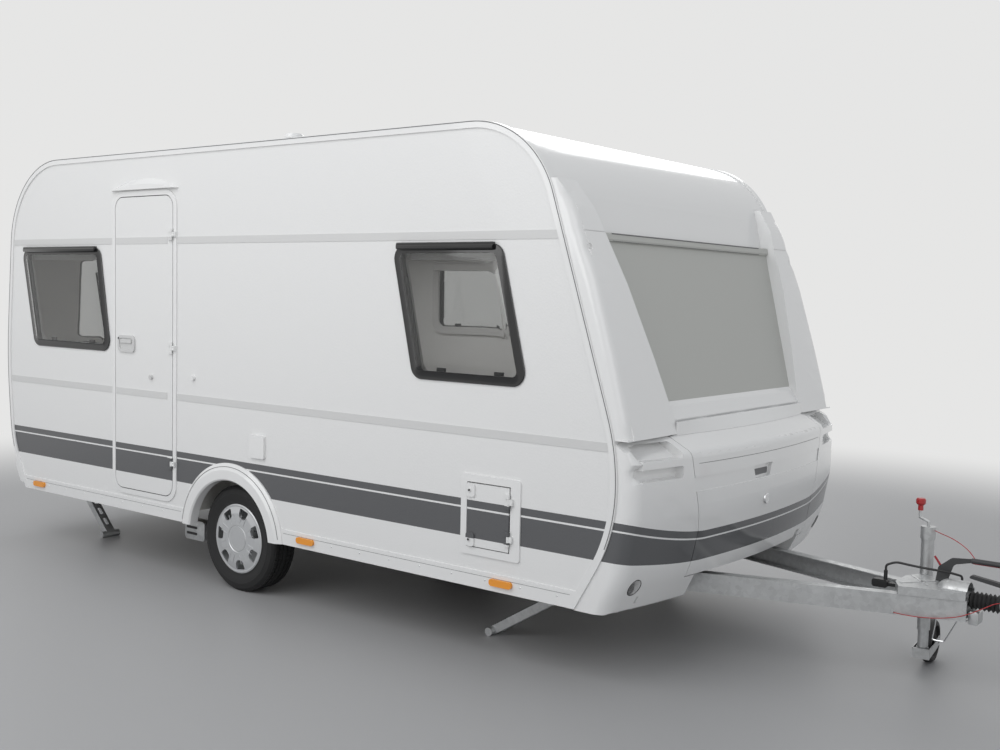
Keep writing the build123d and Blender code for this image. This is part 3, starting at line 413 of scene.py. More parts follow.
# %% Rubber, plastics and lenses
rubber, n, l, shader = principled("black_rubber", (0.022, 0.022, 0.023), 0.62)
bump(n, l, shader, noise(n, l, 400, 2), 0.15, 0.0005)
for node in ("window_linings", "bellows", "jockey_wheel"):
    dress(node, rubber)
tyre, n, l, shader = principled("tyre_rubber", (0.015, 0.015, 0.0155), 0.75)
bump(n, l, shader, noise(n, l, 120, 3), 0.2, 0.001)
for side in ("right", "left"):
    dress(f"tyre_{side}", tyre)
dark, n, l, shader = principled("dark_plastic", (0.045, 0.046, 0.048), 0.5)
bump(n, l, shader, noise(n, l, 600, 2), 0.1, 0.0004)
cupboard, n, l, shader = principled("cupboard_board", (0.60, 0.59, 0.56), 0.5)
bump(n, l, shader, noise(n, l, 30, 3, stretch=(1, 1, 9)), 0.05, 0.0006)
dress("inner_boxes", cupboard)
for node in ("coupling_handle", "handbrake_lever"):
    dress(node, dark)
amber, n, l, shader = principled("amber_lens", (0.88, 0.33, 0.03), 0.2, coat=0.4)
bump(n, l, shader, noise(n, l, 60, 1, stretch=(8, 1, 1)), 0.1, 0.001)
dress("marker_lamps", amber)
red, n, l, shader = principled("red_plastic", (0.42, 0.018, 0.02), 0.3, coat=0.3)
bump(n, l, shader, noise(n, l, 200, 1), 0.05, 0.0005)
dress("jockey_knob", red)
silver, n, l, shader = principled("silver_plastic", (0.60, 0.61, 0.62), 0.3, metallic=0.55, coat=0.3)
bump(n, l, shader, noise(n, l, 500, 1), 0.04, 0.0004)
for side in ("right", "left"):
    dress(f"hub_cap_{side}", silver)
    dress(f"wheel_rim_{side}", zinc)
belt, n, l, shader = principled("belt_grey", BELT_GREY, 0.4)
bump(n, l, shader, noise(n, l, 700, 2), 0.06, 0.0004)
dress("belt_strips", belt)
handle_grey, n, l, shader = principled("handle_grey", (0.62, 0.62, 0.615), 0.35, coat=0.2)
bump(n, l, shader, noise(n, l, 600, 2), 0.06, 0.0004)
dress("door_handle", handle_grey)
tail, n, l, shader = principled("red_lens", (0.55, 0.012, 0.015), 0.12, coat=0.6)
bump(n, l, shader, noise(n, l, 90, 1, stretch=(1, 8, 1)), 0.12, 0.001)
dress("rear_lamps", tail)
clear, n, l, shader = principled("clear_lens", (0.90, 0.91, 0.92), 0.05, coat=0.5)
shader.inputs["Transmission Weight"].default_value = 0.85
bump(n, l, shader, noise(n, l, 70, 1, stretch=(1, 6, 1)), 0.2, 0.001)
dress("front_lamps", clear)
chrome, n, l, shader = principled("bright_steel", (0.72, 0.73, 0.74), 0.16, metallic=1.0)
bump(n, l, shader, noise(n, l, 300, 2), 0.05, 0.0003)
cable_red, n, l, shader = principled("cable_red", (0.42, 0.02, 0.025), 0.35, coat=0.3)
bump(n, l, shader, noise(n, l, 500, 1, stretch=(4, 1, 1)), 0.1, 0.0003)
dress("breakaway_cable", cable_red)
sheath, n, l, shader = principled("lead_sheath", (0.02, 0.02, 0.021), 0.45)
bump(n, l, shader, noise(n, l, 350, 2), 0.12, 0.0004)
for node in ("lead", "lead_plug"):
    dress(node, sheath)
board, n, l, shader = principled("floor_board", (0.16, 0.13, 0.10), 0.6)
bump(n, l, shader, noise(n, l, 30, 4, stretch=(1, 12, 1)), 0.2, 0.001)
dress("floor", board)

# %% [markdown]
# Pieces that are too fine for the solid model are built here as meshes. Three small tools do most of
# it. A lathe turns an outline round an axis. A prism draws an outline out along one axis. A rod is a
# round bar along a path. `settle` gives a piece its finish and tells it which body it rides on.

# %% Tools for pieces
SHARP = radians(32)


def smooth(obj, limit=SHARP):
    """Rounds the shading, except over edges sharper than the limit."""
    mesh = bmesh.new()
    mesh.from_mesh(obj.data)
    for face in mesh.faces:
        face.smooth = True
    for edge in mesh.edges:
        edge.smooth = len(edge.link_faces) == 2 and edge.calc_face_angle() < limit
    mesh.to_mesh(obj.data)
    mesh.free()


def from_bmesh(name, mesh):
    bmesh.ops.recalc_face_normals(mesh, faces=mesh.faces)
    data = bpy.data.meshes.new(name)
    mesh.to_mesh(data)
    mesh.free()
    return link_object(name, data)


def settle(obj, materials, body, stands_for=()):
    """Gives a new piece its finish and its body, and hides the CAD nodes that it stands for."""
    if not isinstance(materials, (list, tuple)):
        materials = [materials]
    indices = [min(face.material_index, len(materials) - 1) for face in obj.data.polygons]
    obj.data.materials.clear()
    for material in materials:
        obj.data.materials.append(material)
    obj.data.polygons.foreach_set("material_index", indices)
    smooth(obj)
    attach(obj, body)
    if stands_for:
        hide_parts(*stands_for)
    print(obj.name, "rides on", body, "with", len(obj.data.polygons), "faces")
    return obj


def turned(axis, centre, along_axis, a, b):
    """A point at a distance along an axis and a, b across it."""
    offset = {"X": (along_axis, a, b), "Y": (a, along_axis, b), "Z": (a, b, along_axis)}[axis]
    return Vector(centre) + Vector(offset)


def add_lathe(mesh, profile, centre, axis="Y", steps=48):
    """Turns a closed outline of radius and distance along the axis."""
    rings = []
    for k in range(steps):
        angle = 2 * pi * k / steps
        rings.append([mesh.verts.new(turned(axis, centre, d, r * cos(angle), r * sin(angle)))
                      for r, d in profile])
    for k, here in enumerate(rings):
        there = rings[(k + 1) % steps]
        for i in range(len(profile)):
            j = (i + 1) % len(profile)
            if profile[i][0] or profile[j][0]:
                mesh.faces.new((here[i], here[j], there[j], there[i]))
    bmesh.ops.remove_doubles(mesh, verts=[v for ring in rings for v in ring], dist=1e-6)


def add_prism(mesh, points, low, high, axis="Y", bevel=0.0):
    """Draws an outline out between two places on one axis, with its edges bevelled."""
    def place(point, height):
        u, v = point
        return {"X": (height, u, v), "Y": (u, height, v), "Z": (u, v, height)}[axis]

    bottom = [mesh.verts.new(place(p, low)) for p in points]
    top = [mesh.verts.new(place(p, high)) for p in points]
    faces = [mesh.faces.new(bottom), mesh.faces.new(list(reversed(top)))]
    for i in range(len(points)):
        j = (i + 1) % len(points)
        faces.append(mesh.faces.new((bottom[i], top[i], top[j], bottom[j])))
    if bevel:
        rims = list({edge for face in faces[:2] for edge in face.edges})
        bmesh.ops.bevel(mesh, geom=rims, offset=bevel, segments=2, profile=0.5, affect="EDGES")


def rounded(points, radius, steps=6):
    """An outline with its corners rounded."""
    result = []
    count = len(points)
    for i, point in enumerate(points):
        here = Vector(point)
        before = (Vector(points[i - 1]) - here).normalized()
        after = (Vector(points[(i + 1) % count]) - here).normalized()
        half = before.angle(after) / 2
        middle = here + (before + after).normalized() * radius / sin(half)
        start = here + before * radius / tan(half) - middle
        end = here + after * radius / tan(half) - middle
        first = atan2(start.y, start.x)
        swing = (atan2(end.y, end.x) - first + pi) % (2 * pi) - pi
        for k in range(steps + 1):
            angle = first + swing * k / steps
            result.append((middle.x + radius * cos(angle), middle.y + radius * sin(angle)))
    return result


def inset(points, distance):
    """An outline with its sides moved inwards. Its points run anticlockwise."""
    count = len(points)
    normals = []
    for i in range(count):
        side = (Vector(points[(i + 1) % count]) - Vector(points[i])).normalized()
        normals.append(Vector((-side.y, side.x)))
    result = []
    for i, point in enumerate(points):
        a, b = normals[i - 1], normals[i]
        result.append(tuple(Vector(point) + (a + b) * distance / (1 + a.dot(b))))
    return result


def box_outline(x0, x1, z0, z1):
    return [(x0, z0), (x1, z0), (x1, z1), (x0, z1)]


def rod(name, points, radius, sides=12):
    """A round bar along a smooth path."""
    curve = bpy.data.curves.new(name, "CURVE")
    curve.dimensions = "3D"
    curve.bevel_depth = radius
    curve.bevel_resolution = max(1, sides // 4 - 1)
    curve.use_fill_caps = True
    spline = curve.splines.new("NURBS")
    spline.points.add(len(points) - 1)
    for point, place in zip(spline.points, points):
        point.co = (*place, 1)
    spline.order_u = 3
    spline.use_endpoint_u = True
    spline.resolution_u = 8
    source = bpy.data.objects.new(name, curve)
    bpy.context.scene.collection.objects.link(source)
    data = bpy.data.meshes.new_from_object(source)
    bpy.data.objects.remove(source)
    return link_object(name, data)


def baked(obj):
    """Applies the modifiers of a piece and returns it with a plain mesh."""
    bpy.context.view_layer.update()
    data = bpy.data.meshes.new_from_object(obj.evaluated_get(bpy.context.evaluated_depsgraph_get()))
    obj.modifiers.clear()
    obj.data = data
    return obj


# %% [markdown]
# The windows are double panes of smoked acrylic, blown into a shallow dome. A black printed border
# hides the glue line, so each pane is one closed shell of rings that follow its outline: flat and
# black near the edge, then a step, then the clear dome. The rear pane also follows the curve of the
# rear wall, which is read from the solid pane by casting rays at it.

# %% Window panes
SIDE_WINDOWS = {
    # rear edge and front edge low and high, then the lower and upper edge
    "rear": (-2.054, -2.207, -1.172, -1.286, 1.349, 2.007),
    "front": (1.394, 1.240, 2.108, 1.940, 1.340, 2.007),
    "kitchen": (-0.420, -0.420, 0.380, 0.380, 1.480, 2.007),
}
WINDOWS = {-1: ("rear", "front"), 1: ("rear", "front", "kitchen")}
REAR_WINDOW = box_outline(-0.666, 0.666, 1.319, 2.011)
WALL_FACE = 1.150
PANE_CORNER = 0.070
BORDER = 0.048
PANE_OUTER = [(0.000, 0.0060), (0.003, 0.0090), (0.036, 0.0100), (0.044, 0.0135), (0.052, 0.0170),
              (0.066, 0.0190), (0.10, 0.0208), (0.17, 0.0216)]
PANE_INNER = [(0.000, 0.0045), (0.036, 0.0055), (0.046, 0.0090), (0.060, 0.0140), (0.10, 0.0165), (0.17, 0.0172)]


def window_outline(window):
    low_rear, top_rear, low_front, top_front, low, top = SIDE_WINDOWS[window]
    return [(low_rear, low), (low_front, low), (top_front, top), (top_rear, top)]


def ray_tree(node):
    mesh = nodes[node].data
    return BVHTree.FromPolygons([v.co.copy() for v in mesh.vertices], [tuple(p.vertices) for p in mesh.polygons])


pane_tree = ray_tree("windows")
rear_curve = []
for k in range(15):
    z = 1.33 + 0.67 * k / 14
    hit = pane_tree.ray_cast(Vector((cad_low.x - 1, 0, z)), Vector((1, 0, 0)))[0]
    rear_curve.append((z, hit.x + 0.022))
print("rear wall between", round(rear_curve[0][1], 3), "and", round(rear_curve[-1][1], 3))


def rear_face(z):
    """X of the rear wall's face at a height."""
    for (z0, x0), (z1, x1) in zip(rear_curve, rear_curve[1:]):
        if z <= z1:
            break
    return x0 + (x1 - x0) * (z - z0) / (z1 - z0)


def add_pane(mesh, outline, place):
    shells = []
    for rows in (PANE_OUTER, PANE_INNER):
        rings = []
        for depth, height in rows:
            ring = rounded(inset(outline, depth), max(PANE_CORNER - depth, 0.022), 8)
            rings.append([mesh.verts.new(place(u, v, height)) for u, v in ring])
        for here, there, row in zip(rings, rings[1:], rows[1:]):
            for i in range(len(here)):
                j = (i + 1) % len(here)
                face = mesh.faces.new((here[i], here[j], there[j], there[i]))
                face.material_index = 0 if row[0] <= BORDER else 1
        mesh.faces.new(rings[-1]).material_index = 1
        shells.append(rings[0])
    for i in range(len(shells[0])):
        j = (i + 1) % len(shells[0])
        mesh.faces.new((shells[0][i], shells[0][j], shells[1][j], shells[1][i])).material_index = 0


smoked, n, l, shader = principled("smoked_acrylic", (0.58, 0.585, 0.58), 0.02)
shader.inputs["Transmission Weight"].default_value = 1.0
shader.inputs["IOR"].default_value = 1.45
bump(n, l, shader, noise(n, l, 1.6, 1), 0.10, 0.02)
border_black, n, l, shader = principled("printed_border", (0.010, 0.010, 0.0105), 0.12, coat=0.3)
bump(n, l, shader, noise(n, l, 3.0, 1), 0.05, 0.01)

mesh = bmesh.new()
for side, names in WINDOWS.items():
    for window in names:
        add_pane(mesh, window_outline(window), lambda u, v, h: (along(u), side * (WALL_FACE + h), v))
add_pane(mesh, REAR_WINDOW, lambda u, v, h: (rear_face(v) - h, u, v))
settle(from_bmesh("window_panes", mesh), [border_black, smoked], "caravan", ["windows"])

# %% [markdown]
# Each pane hangs from a black rail along its top edge. Behind it are a light frame on the inner wall,
# the box of a roller blind, two folding stays and two catches. They show through the acrylic.

# %% Window rails, frames, stays and catches
RAIL_PROFILE = [(0.0005, 0.008), (0.020, 0.008), (0.025, 0.004), (0.0235, -0.004), (0.0275, -0.009), (0.0275, -0.020),
                (0.024, -0.025), (0.0005, -0.025)]
WALL_INNER = 1.118
rails, frames, fittings = bmesh.new(), bmesh.new(), bmesh.new()
for side, names in WINDOWS.items():
    for window in names:
        low_rear, top_rear, low_front, top_front, low, top = SIDE_WINDOWS[window]
        points = [(side * (WALL_FACE + y), top + z) for y, z in RAIL_PROFILE]
        add_prism(rails, points, along(top_rear + 0.045), along(top_front - 0.045), "X", 0.002)
        outer = rounded(inset(window_outline(window), -0.015), 0.09, 6)
        inner = rounded(inset(window_outline(window), 0.040), 0.05, 6)
        corners = {}
        for name, ring in (("outer", outer), ("inner", inner)):
            for depth in (0.0005, 0.018):
                corners[name, depth] = [frames.verts.new((along(u), side * (WALL_INNER - depth), v)) for u, v in ring]
        loop = [("outer", 0.0005), ("outer", 0.018), ("inner", 0.018), ("inner", 0.0005)]
        for a, b in zip(loop, loop[1:] + loop[:1]):
            for i in range(len(outer)):
                j = (i + 1) % len(outer)
                frames.faces.new((corners[a][i], corners[a][j], corners[b][j], corners[b][i]))
        y0, y1 = sorted((side * (WALL_INNER - 0.070), side * (WALL_INNER - 0.018)))
        add_prism(frames, box_outline(along(top_rear) + 0.03, along(top_front) - 0.03, top - 0.075, top - 0.005),
                  y0, y1, "Y", 0.006)
        lean = (top_rear - low_rear) / (top - low)
        inside = sorted((side * (WALL_FACE - 0.012), side * (WALL_FACE - 0.002)))
        for start, shift in ((low_rear, 0.050), (low_front, -0.062)):
            foot = start + shift + lean * 0.10
            head = start + shift + lean * (top - low - 0.16)
            stay = [(along(foot), low + 0.10), (along(foot + 0.012), low + 0.10),
                    (along(head + 0.012), top - 0.16), (along(head), top - 0.16)]
            add_prism(fittings, stay, *inside, "Y", 0.002)
        for share in (0.25, 0.75):
            middle = along(low_rear + (low_front - low_rear) * share)
            add_prism(fittings, box_outline(middle - 0.028, middle + 0.028, low + 0.046, low + 0.062), *inside, "Y", 0.003)
settle(from_bmesh("window_rails", rails), border_black, "caravan")
settle(from_bmesh("window_frames", frames), belt, "caravan")
settle(from_bmesh("window_stays", fittings), dark, "caravan")

# %% [markdown]
# The nose mouldings have soft, round upright edges. The solid model leaves these edges square, so a
# copy is cut here. For a row of heights, rays find where the edge is, and the cutter is lofted from
# rounded corner sections at those places. A boolean then takes the square corner away.

# %% Round the nose edges
HALF_WIDTH = 1.150


def front_x(tree, y, z):
    hit = tree.ray_cast(Vector((cad_high.x + 1, y, z)), Vector((-1, 0, 0)))[0]
    return hit.x if hit else None


def edge_cutter(name, tree, side, reach, low, high, rows=28, steps=7):
    """A solid that fills the outside of a round corner between the front and one side."""
    mesh = bmesh.new()
    sections = []
    for k in range(rows):
        z = low + (high - low) * k / (rows - 1)
        edge = front_x(tree, side * (HALF_WIDTH - 0.0008), z)
        front = front_x(tree, side * (HALF_WIDTH - reach), z)
        if edge is None or front is None:
            continue
        start = Vector((edge - reach, HALF_WIDTH))
        corner = Vector((edge, HALF_WIDTH))
        end = Vector((front, HALF_WIDTH - reach))
        ring = []
        for i in range(steps + 1):
            t = i / steps
            a, b, c = (1 - t) ** 2, 2 * t * (1 - t) * 0.72, t ** 2
            ring.append((start * a + corner * b + end * c) / (a + b + c))
        ring += [Vector((front + 0.2, HALF_WIDTH - reach)), Vector((edge + 0.2, HALF_WIDTH + 0.1)),
                 Vector((edge - reach, HALF_WIDTH + 0.1))]
        sections.append((z, ring))
    sections[0] = (low - 0.03, sections[0][1])
    sections[-1] = (sections[-1][0] + 0.03, sections[-1][1])
    rows_made = [[mesh.verts.new((p.x, side * p.y, z)) for p in ring] for z, ring in sections]
    for here, there in zip(rows_made, rows_made[1:]):
        for i in range(len(here)):
            j = (i + 1) % len(here)
            mesh.faces.new((here[i], here[j], there[j], there[i]))
    mesh.faces.new(rows_made[0])
    mesh.faces.new(rows_made[-1])
    return from_bmesh(name, mesh)


def soften(node, name, reach, low, high, material):
    """A copy of a CAD node with its two upright front edges rounded."""
    mesh = bmesh.new()
    mesh.from_mesh(nodes[node].data)
    bmesh.ops.remove_doubles(mesh, verts=mesh.verts, dist=1e-5)
    piece = from_bmesh(name, mesh)
    tree = ray_tree(node)
    for side in (-1, 1):
        cutter = edge_cutter("cutter", tree, side, reach, low, high)
        cut = piece.modifiers.new("cut", "BOOLEAN")
        cut.operation = "DIFFERENCE"
        cut.solver = "EXACT"
        cut.object = cutter
        baked(piece)
        bpy.data.objects.remove(cutter)
    return settle(piece, material, "caravan", [node])


soften("nose_corners", "soft_nose_corners", 0.062, 0.352, 1.125, nose_moulding)
soften("nose_pillars", "soft_nose_pillars", 0.052, 1.175, 2.270, moulding)

# %% [markdown]
# Dark lines are what make a panelled body read as real. Round the door and the flap a rubber seal
# lies in the gap. It is a flat ring between two rounded outlines, on the frame's side of the gap, so
# that the door turns past it.

# %% Seals round the door and the flap
DOOR_OUTLINE = box_outline(along(-1.116), along(-0.539), 0.497, 2.313)
FLAP_OUTLINE = box_outline(along(1.766), along(2.019), 0.556, 0.862)


def add_ring(mesh, outer, inner, y0, y1):
    """A flat ring between two outlines with the same number of points."""
    rows = [[mesh.verts.new((u, y, v)) for u, v in ring]
            for ring, y in ((outer, y0), (outer, y1), (inner, y1), (inner, y0))]
    for here, there in zip(rows, rows[1:] + rows[:1]):
        for i in range(len(outer)):
            j = (i + 1) % len(outer)
            mesh.faces.new((here[i], here[j], there[j], there[i]))


mesh = bmesh.new()
for outline, corner, y0 in ((DOOR_OUTLINE, 0.070, -1.1545), (FLAP_OUTLINE, 0.016, -1.1520)):
    outer = rounded(inset(outline, -0.0049), corner + 0.004, 8)
    inner = rounded(inset(outline, -0.0022), corner, 8)
    add_ring(mesh, outer, inner, y0, y0 + 0.030)
# Black rubber for the seals; the housing slots reuse it as painted shade.
rubber_and_slot_shade, n, l, shader = principled("rubber_and_slot_shade", (0.022, 0.022, 0.023), 0.6)
bump(n, l, shader, noise(n, l, 260, 2), 0.1, 0.0004)
settle(from_bmesh("door_seals", mesh), rubber_and_slot_shade, "caravan")

# %% [markdown]
# The alloy edge rail carries a groove for an awning's bead, and the wheel arch and the sill have
# fine shadow lines. Each is painted shade: a thin dark bar along a path, where the groove and the
# lines fall in shadow. The rail's path is the outline of the solid rail itself, moved in a little,
# and rays find the rail's face at each place.

# %% Shadow lines on rail, arch and sill
RAIL_INSET = 0.006
# Dark grey that paints the shade in grooves, creases, gaps and the grip pocket.
painted_shade, n, l, shader = principled("groove_shade", (0.16, 0.16, 0.165), 0.5)
bump(n, l, shader, noise(n, l, 200, 2), 0.1, 0.0004)


def join_meshes(name, objects):
    mesh = bmesh.new()
    for obj in objects:
        mesh.from_mesh(obj.data)
        bpy.data.objects.remove(obj)
    return from_bmesh(name, mesh)


rail_points = [(v.co.x, v.co.z) for v in nodes["edge_rails"].data.vertices]
hull = [rail_points[i] for i in convex_hull_2d(rail_points)]
step = 0.055
dense = []
for a, b in zip(hull, hull[1:] + hull[:1]):
    count = max(1, round((Vector(b) - Vector(a)).length / step))
    dense += [tuple(Vector(a).lerp(Vector(b), k / count)) for k in range(count)]
middle = Vector((along(0.1), 1.4))
path = []
for point in dense:
    inward = (middle - Vector(point)).normalized()
    moved = Vector(point) + inward * RAIL_INSET
    if moved.y > 0.62:
        path.append(moved)
path.sort(key=lambda p: -atan2(p.x - middle.x, p.y - middle.y))
rail_tree = ray_tree("edge_rails")
lines = []
for side in (-1, 1):
    places = []
    for point in path:
        hit = rail_tree.ray_cast(Vector((point.x, side * 2, point.y)), Vector((0, -side, 0)))[0]
        if hit and abs(hit.y) > 1.13:
            places.append((point.x, hit.y, point.y))
    lines.append(rod("line", places, 0.0022, 8))
    arch = [(along(0.4285 * cos(radians(a))), side * 1.1702, 0.313 + 0.4285 * sin(radians(a))) for a in range(9, 172, 6)]
    lines.append(rod("line", arch, 0.0017, 8))
    for x0, x1 in ((-2.17, -0.455), (0.455, 2.37)):
        lines.append(rod("line", [(along(x0), side * 1.1558, 0.4185), (along(x1), side * 1.1558, 0.4185)], 0.0012, 8))
settle(join_meshes("shadow_lines", lines), painted_shade, "caravan")

# %% [markdown]
# A tyre is a turned shape: bead, sidewall with its rings and a tread with running grooves. Its
# shoulder and its second rows are cut into blocks, and those blocks are the first job for Geometry
# Nodes here. The tree puts one small head on every point of a mesh. Each point says with an
# attribute which way its head faces, and with another which way its long side runs.

# %% A tree that sets heads on points
def scatter_tree(name, shape, material):
    """Sets a head on every point. Shape is block, round or hexagon; its sizes are the tree's inputs."""
    tree = bpy.data.node_groups.new(name, "GeometryNodeTree")
    face = tree.interface
    face.new_socket("Points", in_out="INPUT", socket_type="NodeSocketGeometry")
    sockets = {}
    for label in ("Length", "Width", "Height"):
        sockets[label] = face.new_socket(label, in_out="INPUT", socket_type="NodeSocketFloat").identifier
    face.new_socket("Geometry", in_out="OUTPUT", socket_type="NodeSocketGeometry")
    n, l = tree.nodes, tree.links
    enter, leave = n.new("NodeGroupInput"), n.new("NodeGroupOutput")
    if shape == "block":
        head = n.new("GeometryNodeMeshCube")
        size = n.new("ShaderNodeCombineXYZ")
        for socket, label in zip(size.inputs, ("Length", "Width", "Height")):
            l.new(enter.outputs[label], socket)
        l.new(size.outputs[0], head.inputs["Size"])
    else:
        head = n.new("GeometryNodeMeshCone")
        head.inputs["Vertices"].default_value = 6 if shape == "hexagon" else 12
        l.new(enter.outputs["Length"], head.inputs["Radius Bottom"])
        l.new(enter.outputs["Width"], head.inputs["Radius Top"])
        l.new(enter.outputs["Height"], head.inputs["Depth"])
    first = n.new("FunctionNodeAlignRotationToVector")
    first.axis = "Z"
    second = n.new("FunctionNodeAlignRotationToVector")
    second.axis = "X"
    second.pivot_axis = "Z"
    for node, label in ((first, "facing"), (second, "along")):
        attribute = n.new("GeometryNodeInputNamedAttribute")
        attribute.data_type = "FLOAT_VECTOR"
        attribute.inputs["Name"].default_value = label
        l.new(attribute.outputs[0], node.inputs["Vector"])
    l.new(first.outputs[0], second.inputs["Rotation"])
    instance = n.new("GeometryNodeInstanceOnPoints")
    l.new(enter.outputs["Points"], instance.inputs["Points"])
    l.new(head.outputs["Mesh"], instance.inputs["Instance"])
    l.new(second.outputs[0], instance.inputs["Rotation"])
    real = n.new("GeometryNodeRealizeInstances")
    l.new(instance.outputs[0], real.inputs[0])
    paint = n.new("GeometryNodeSetMaterial")
    paint.inputs["Material"].default_value = material
    l.new(real.outputs[0], paint.inputs[0])
    l.new(paint.outputs[0], leave.inputs[0])
    return tree, sockets


def scatter(name, points, shape, sizes, material):
    """Points is a list of place, facing and along. Returns a plain mesh object."""
    data = bpy.data.meshes.new(name)
    data.from_pydata([p for p, facing, run in points], [], [])
    for label, index in (("facing", 1), ("along", 2)):
        attribute = data.attributes.new(label, "FLOAT_VECTOR", "POINT")
        attribute.data.foreach_set("vector", [c for point in points for c in point[index]])
    obj = link_object(name, data)
    tree, sockets = scatter_tree(name + "_tree", shape, material)
    modifier = obj.modifiers.new("heads", "NODES")
    modifier.node_group = tree
    for label, size in zip(("Length", "Width", "Height"), sizes):
        modifier[sockets[label]] = size
    baked(obj)
    print(name, "has", len(points), "heads and", len(obj.data.polygons), "faces")
    return obj


# %% Tyres with tread blocks
TYRE_MIDDLE = 1.0075
TYRE_RADIUS = 0.311
TREAD_BASE = 0.3048
BLOCKS = 68
# radius and distance from the tyre's middle, from the bead to the centre rib
TYRE_PROFILE = [(0.1975, 0.070), (0.1975, 0.081), (0.202, 0.0835), (0.204, 0.0862), (0.212, 0.0878),
                (0.2135, 0.0868), (0.222, 0.0880), (0.236, 0.0925), (0.250, 0.0950), (0.258, 0.0956),
                (0.2595, 0.0968), (0.2635, 0.0966), (0.265, 0.0950), (0.275, 0.0928), (0.286, 0.0885),
                (0.2875, 0.0890), (0.291, 0.0875), (0.292, 0.0858), (0.299, 0.0800), (0.3035, 0.0745),
                (0.3048, 0.0700), (0.3048, 0.0500), (0.3040, 0.0485), (0.3040, 0.0430), (0.3048, 0.0415),
                (0.3048, 0.0205), (0.3035, 0.0190), (0.3035, 0.0135), (0.3095, 0.0125), (0.3108, 0.0115)]
profile = TYRE_PROFILE + [(r, -d) for r, d in reversed(TYRE_PROFILE)]
BLOCK_ROWS = ((0.0600, 0.0205), (-0.0600, 0.0205), (0.0310, 0.0195), (-0.0310, 0.0195))
tyre_finish = nodes["tyre_right"].data.materials[0]
for label, side in (("right", -1), ("left", 1)):
    centre = (AXLE_X, side * TYRE_MIDDLE, TYRE_RADIUS)
    mesh = bmesh.new()
    add_lathe(mesh, profile, centre, "Y", 96)
    carcass = from_bmesh("carcass", mesh)
    parts = [carcass]
    for row, (offset, width) in enumerate(BLOCK_ROWS):
        points = []
        for k in range(BLOCKS):
            angle = 2 * pi * (k + 0.5 * (row % 2)) / BLOCKS
            outward = Vector((cos(angle), 0, sin(angle)))
            reach = (TREAD_BASE + TYRE_RADIUS - 0.0006) / 2
            points.append((tuple(Vector(centre) + outward * reach + Vector((0, offset, 0))), tuple(outward), (0, 1, 0)))
        block_length = 2 * pi * TYRE_RADIUS / BLOCKS - 0.0042
        sizes = (width, block_length, TYRE_RADIUS - TREAD_BASE)
        parts.append(scatter("tread_row", points, "block", sizes, tyre_finish))
    settle(join_meshes("tyre_" + label + "_treaded", parts), tyre_finish, "wheel_" + label,
           ["tyre_" + label])

# %% [markdown]
# The hub cap has eight spokes with a pair of pressed ridges on each, and the valve shows through one
# of its openings. The ridges are placed by the same tree.

# %% Hub cap ridges and trim rings
SPOKES = 8
silver = nodes["hub_cap_right"].data.materials[0]
for label, side in (("right", -1), ("left", 1)):
    points = []
    for k in range(SPOKES):
        for lean in (-8.5, 8.5):
            angle = 2 * pi * (k + 0.5) / SPOKES + radians(lean)
            outward = Vector((cos(angle), 0, sin(angle)))
            start = Vector((AXLE_X, side * 1.1022, TYRE_RADIUS))
            bend = Vector((cos(angle - radians(lean * 0.8)), 0, sin(angle - radians(lean * 0.8))))
            points.append((tuple(start + outward * 0.122), (0, side, 0), tuple(bend)))
    ridges = scatter("ridges", points, "block", (0.052, 0.0032, 0.0042), silver)
    mesh = bmesh.new()
    add_lathe(mesh, [(0.0600, -0.001), (0.0600, 0.0018), (0.0625, 0.0026), (0.0650, 0.0018), (0.0650, -0.001)],
              (AXLE_X, side * 1.102, TYRE_RADIUS), "Y", 48)
    ring = from_bmesh("ring", mesh)
    settle(join_meshes("hub_cap_trim_" + label, [ridges, ring]), silver, "wheel_" + label)

# %% [markdown]
# The nose lid is closed by a lock with a bright ring, has a grip pocket, and hangs on a hinge that a
# cover strip hides. The strip is lofted across the lid from sections that start at the hinge and
# end on the lid's own surface, which rays find.

# %% Lid cover strip, panel rail shadows, painted crease shadow, lock ring and pocket shade
LID_HINGE_X, LID_HINGE_Z = along(2.634), 1.188
STRIP_HALF = 0.715
STRIP_FOOT = 1.134
lid_tree = ray_tree("locker_lid")
mesh = bmesh.new()
rows = []
for k in range(21):
    y = -STRIP_HALF + 2 * STRIP_HALF * k / 20
    foot = front_x(lid_tree, y, STRIP_FOOT)
    section = [(LID_HINGE_X + 0.0105, 1.1965), (LID_HINGE_X + 0.020, 1.1965), (foot + 0.0015, STRIP_FOOT + 0.001),
               (foot - 0.006, STRIP_FOOT - 0.002), (LID_HINGE_X + 0.0105, 1.160)]
    rows.append([mesh.verts.new((x, y, z)) for x, z in section])
for here, there in zip(rows, rows[1:]):
    for i in range(len(here)):
        j = (i + 1) % len(here)
        mesh.faces.new((here[i], here[j], there[j], there[i]))
mesh.faces.new(rows[0])
mesh.faces.new(rows[-1])
settle(from_bmesh("lid_hinge_strip", mesh), moulding, "locker_lid")

panel_tree = ray_tree("front_panel")
edges = []
for height, radius in ((2.066, 0.0034), (2.031, 0.0016)):
    row = [(front_x(panel_tree, y, height) or 0, y, height) for y in [-0.80 + 1.60 * k / 16 for k in range(17)]]
    edges.append(rod("edge", [place for place in row if place[0]], radius, 8))
settle(join_meshes("panel_rail_shadows", edges), painted_shade, "caravan")
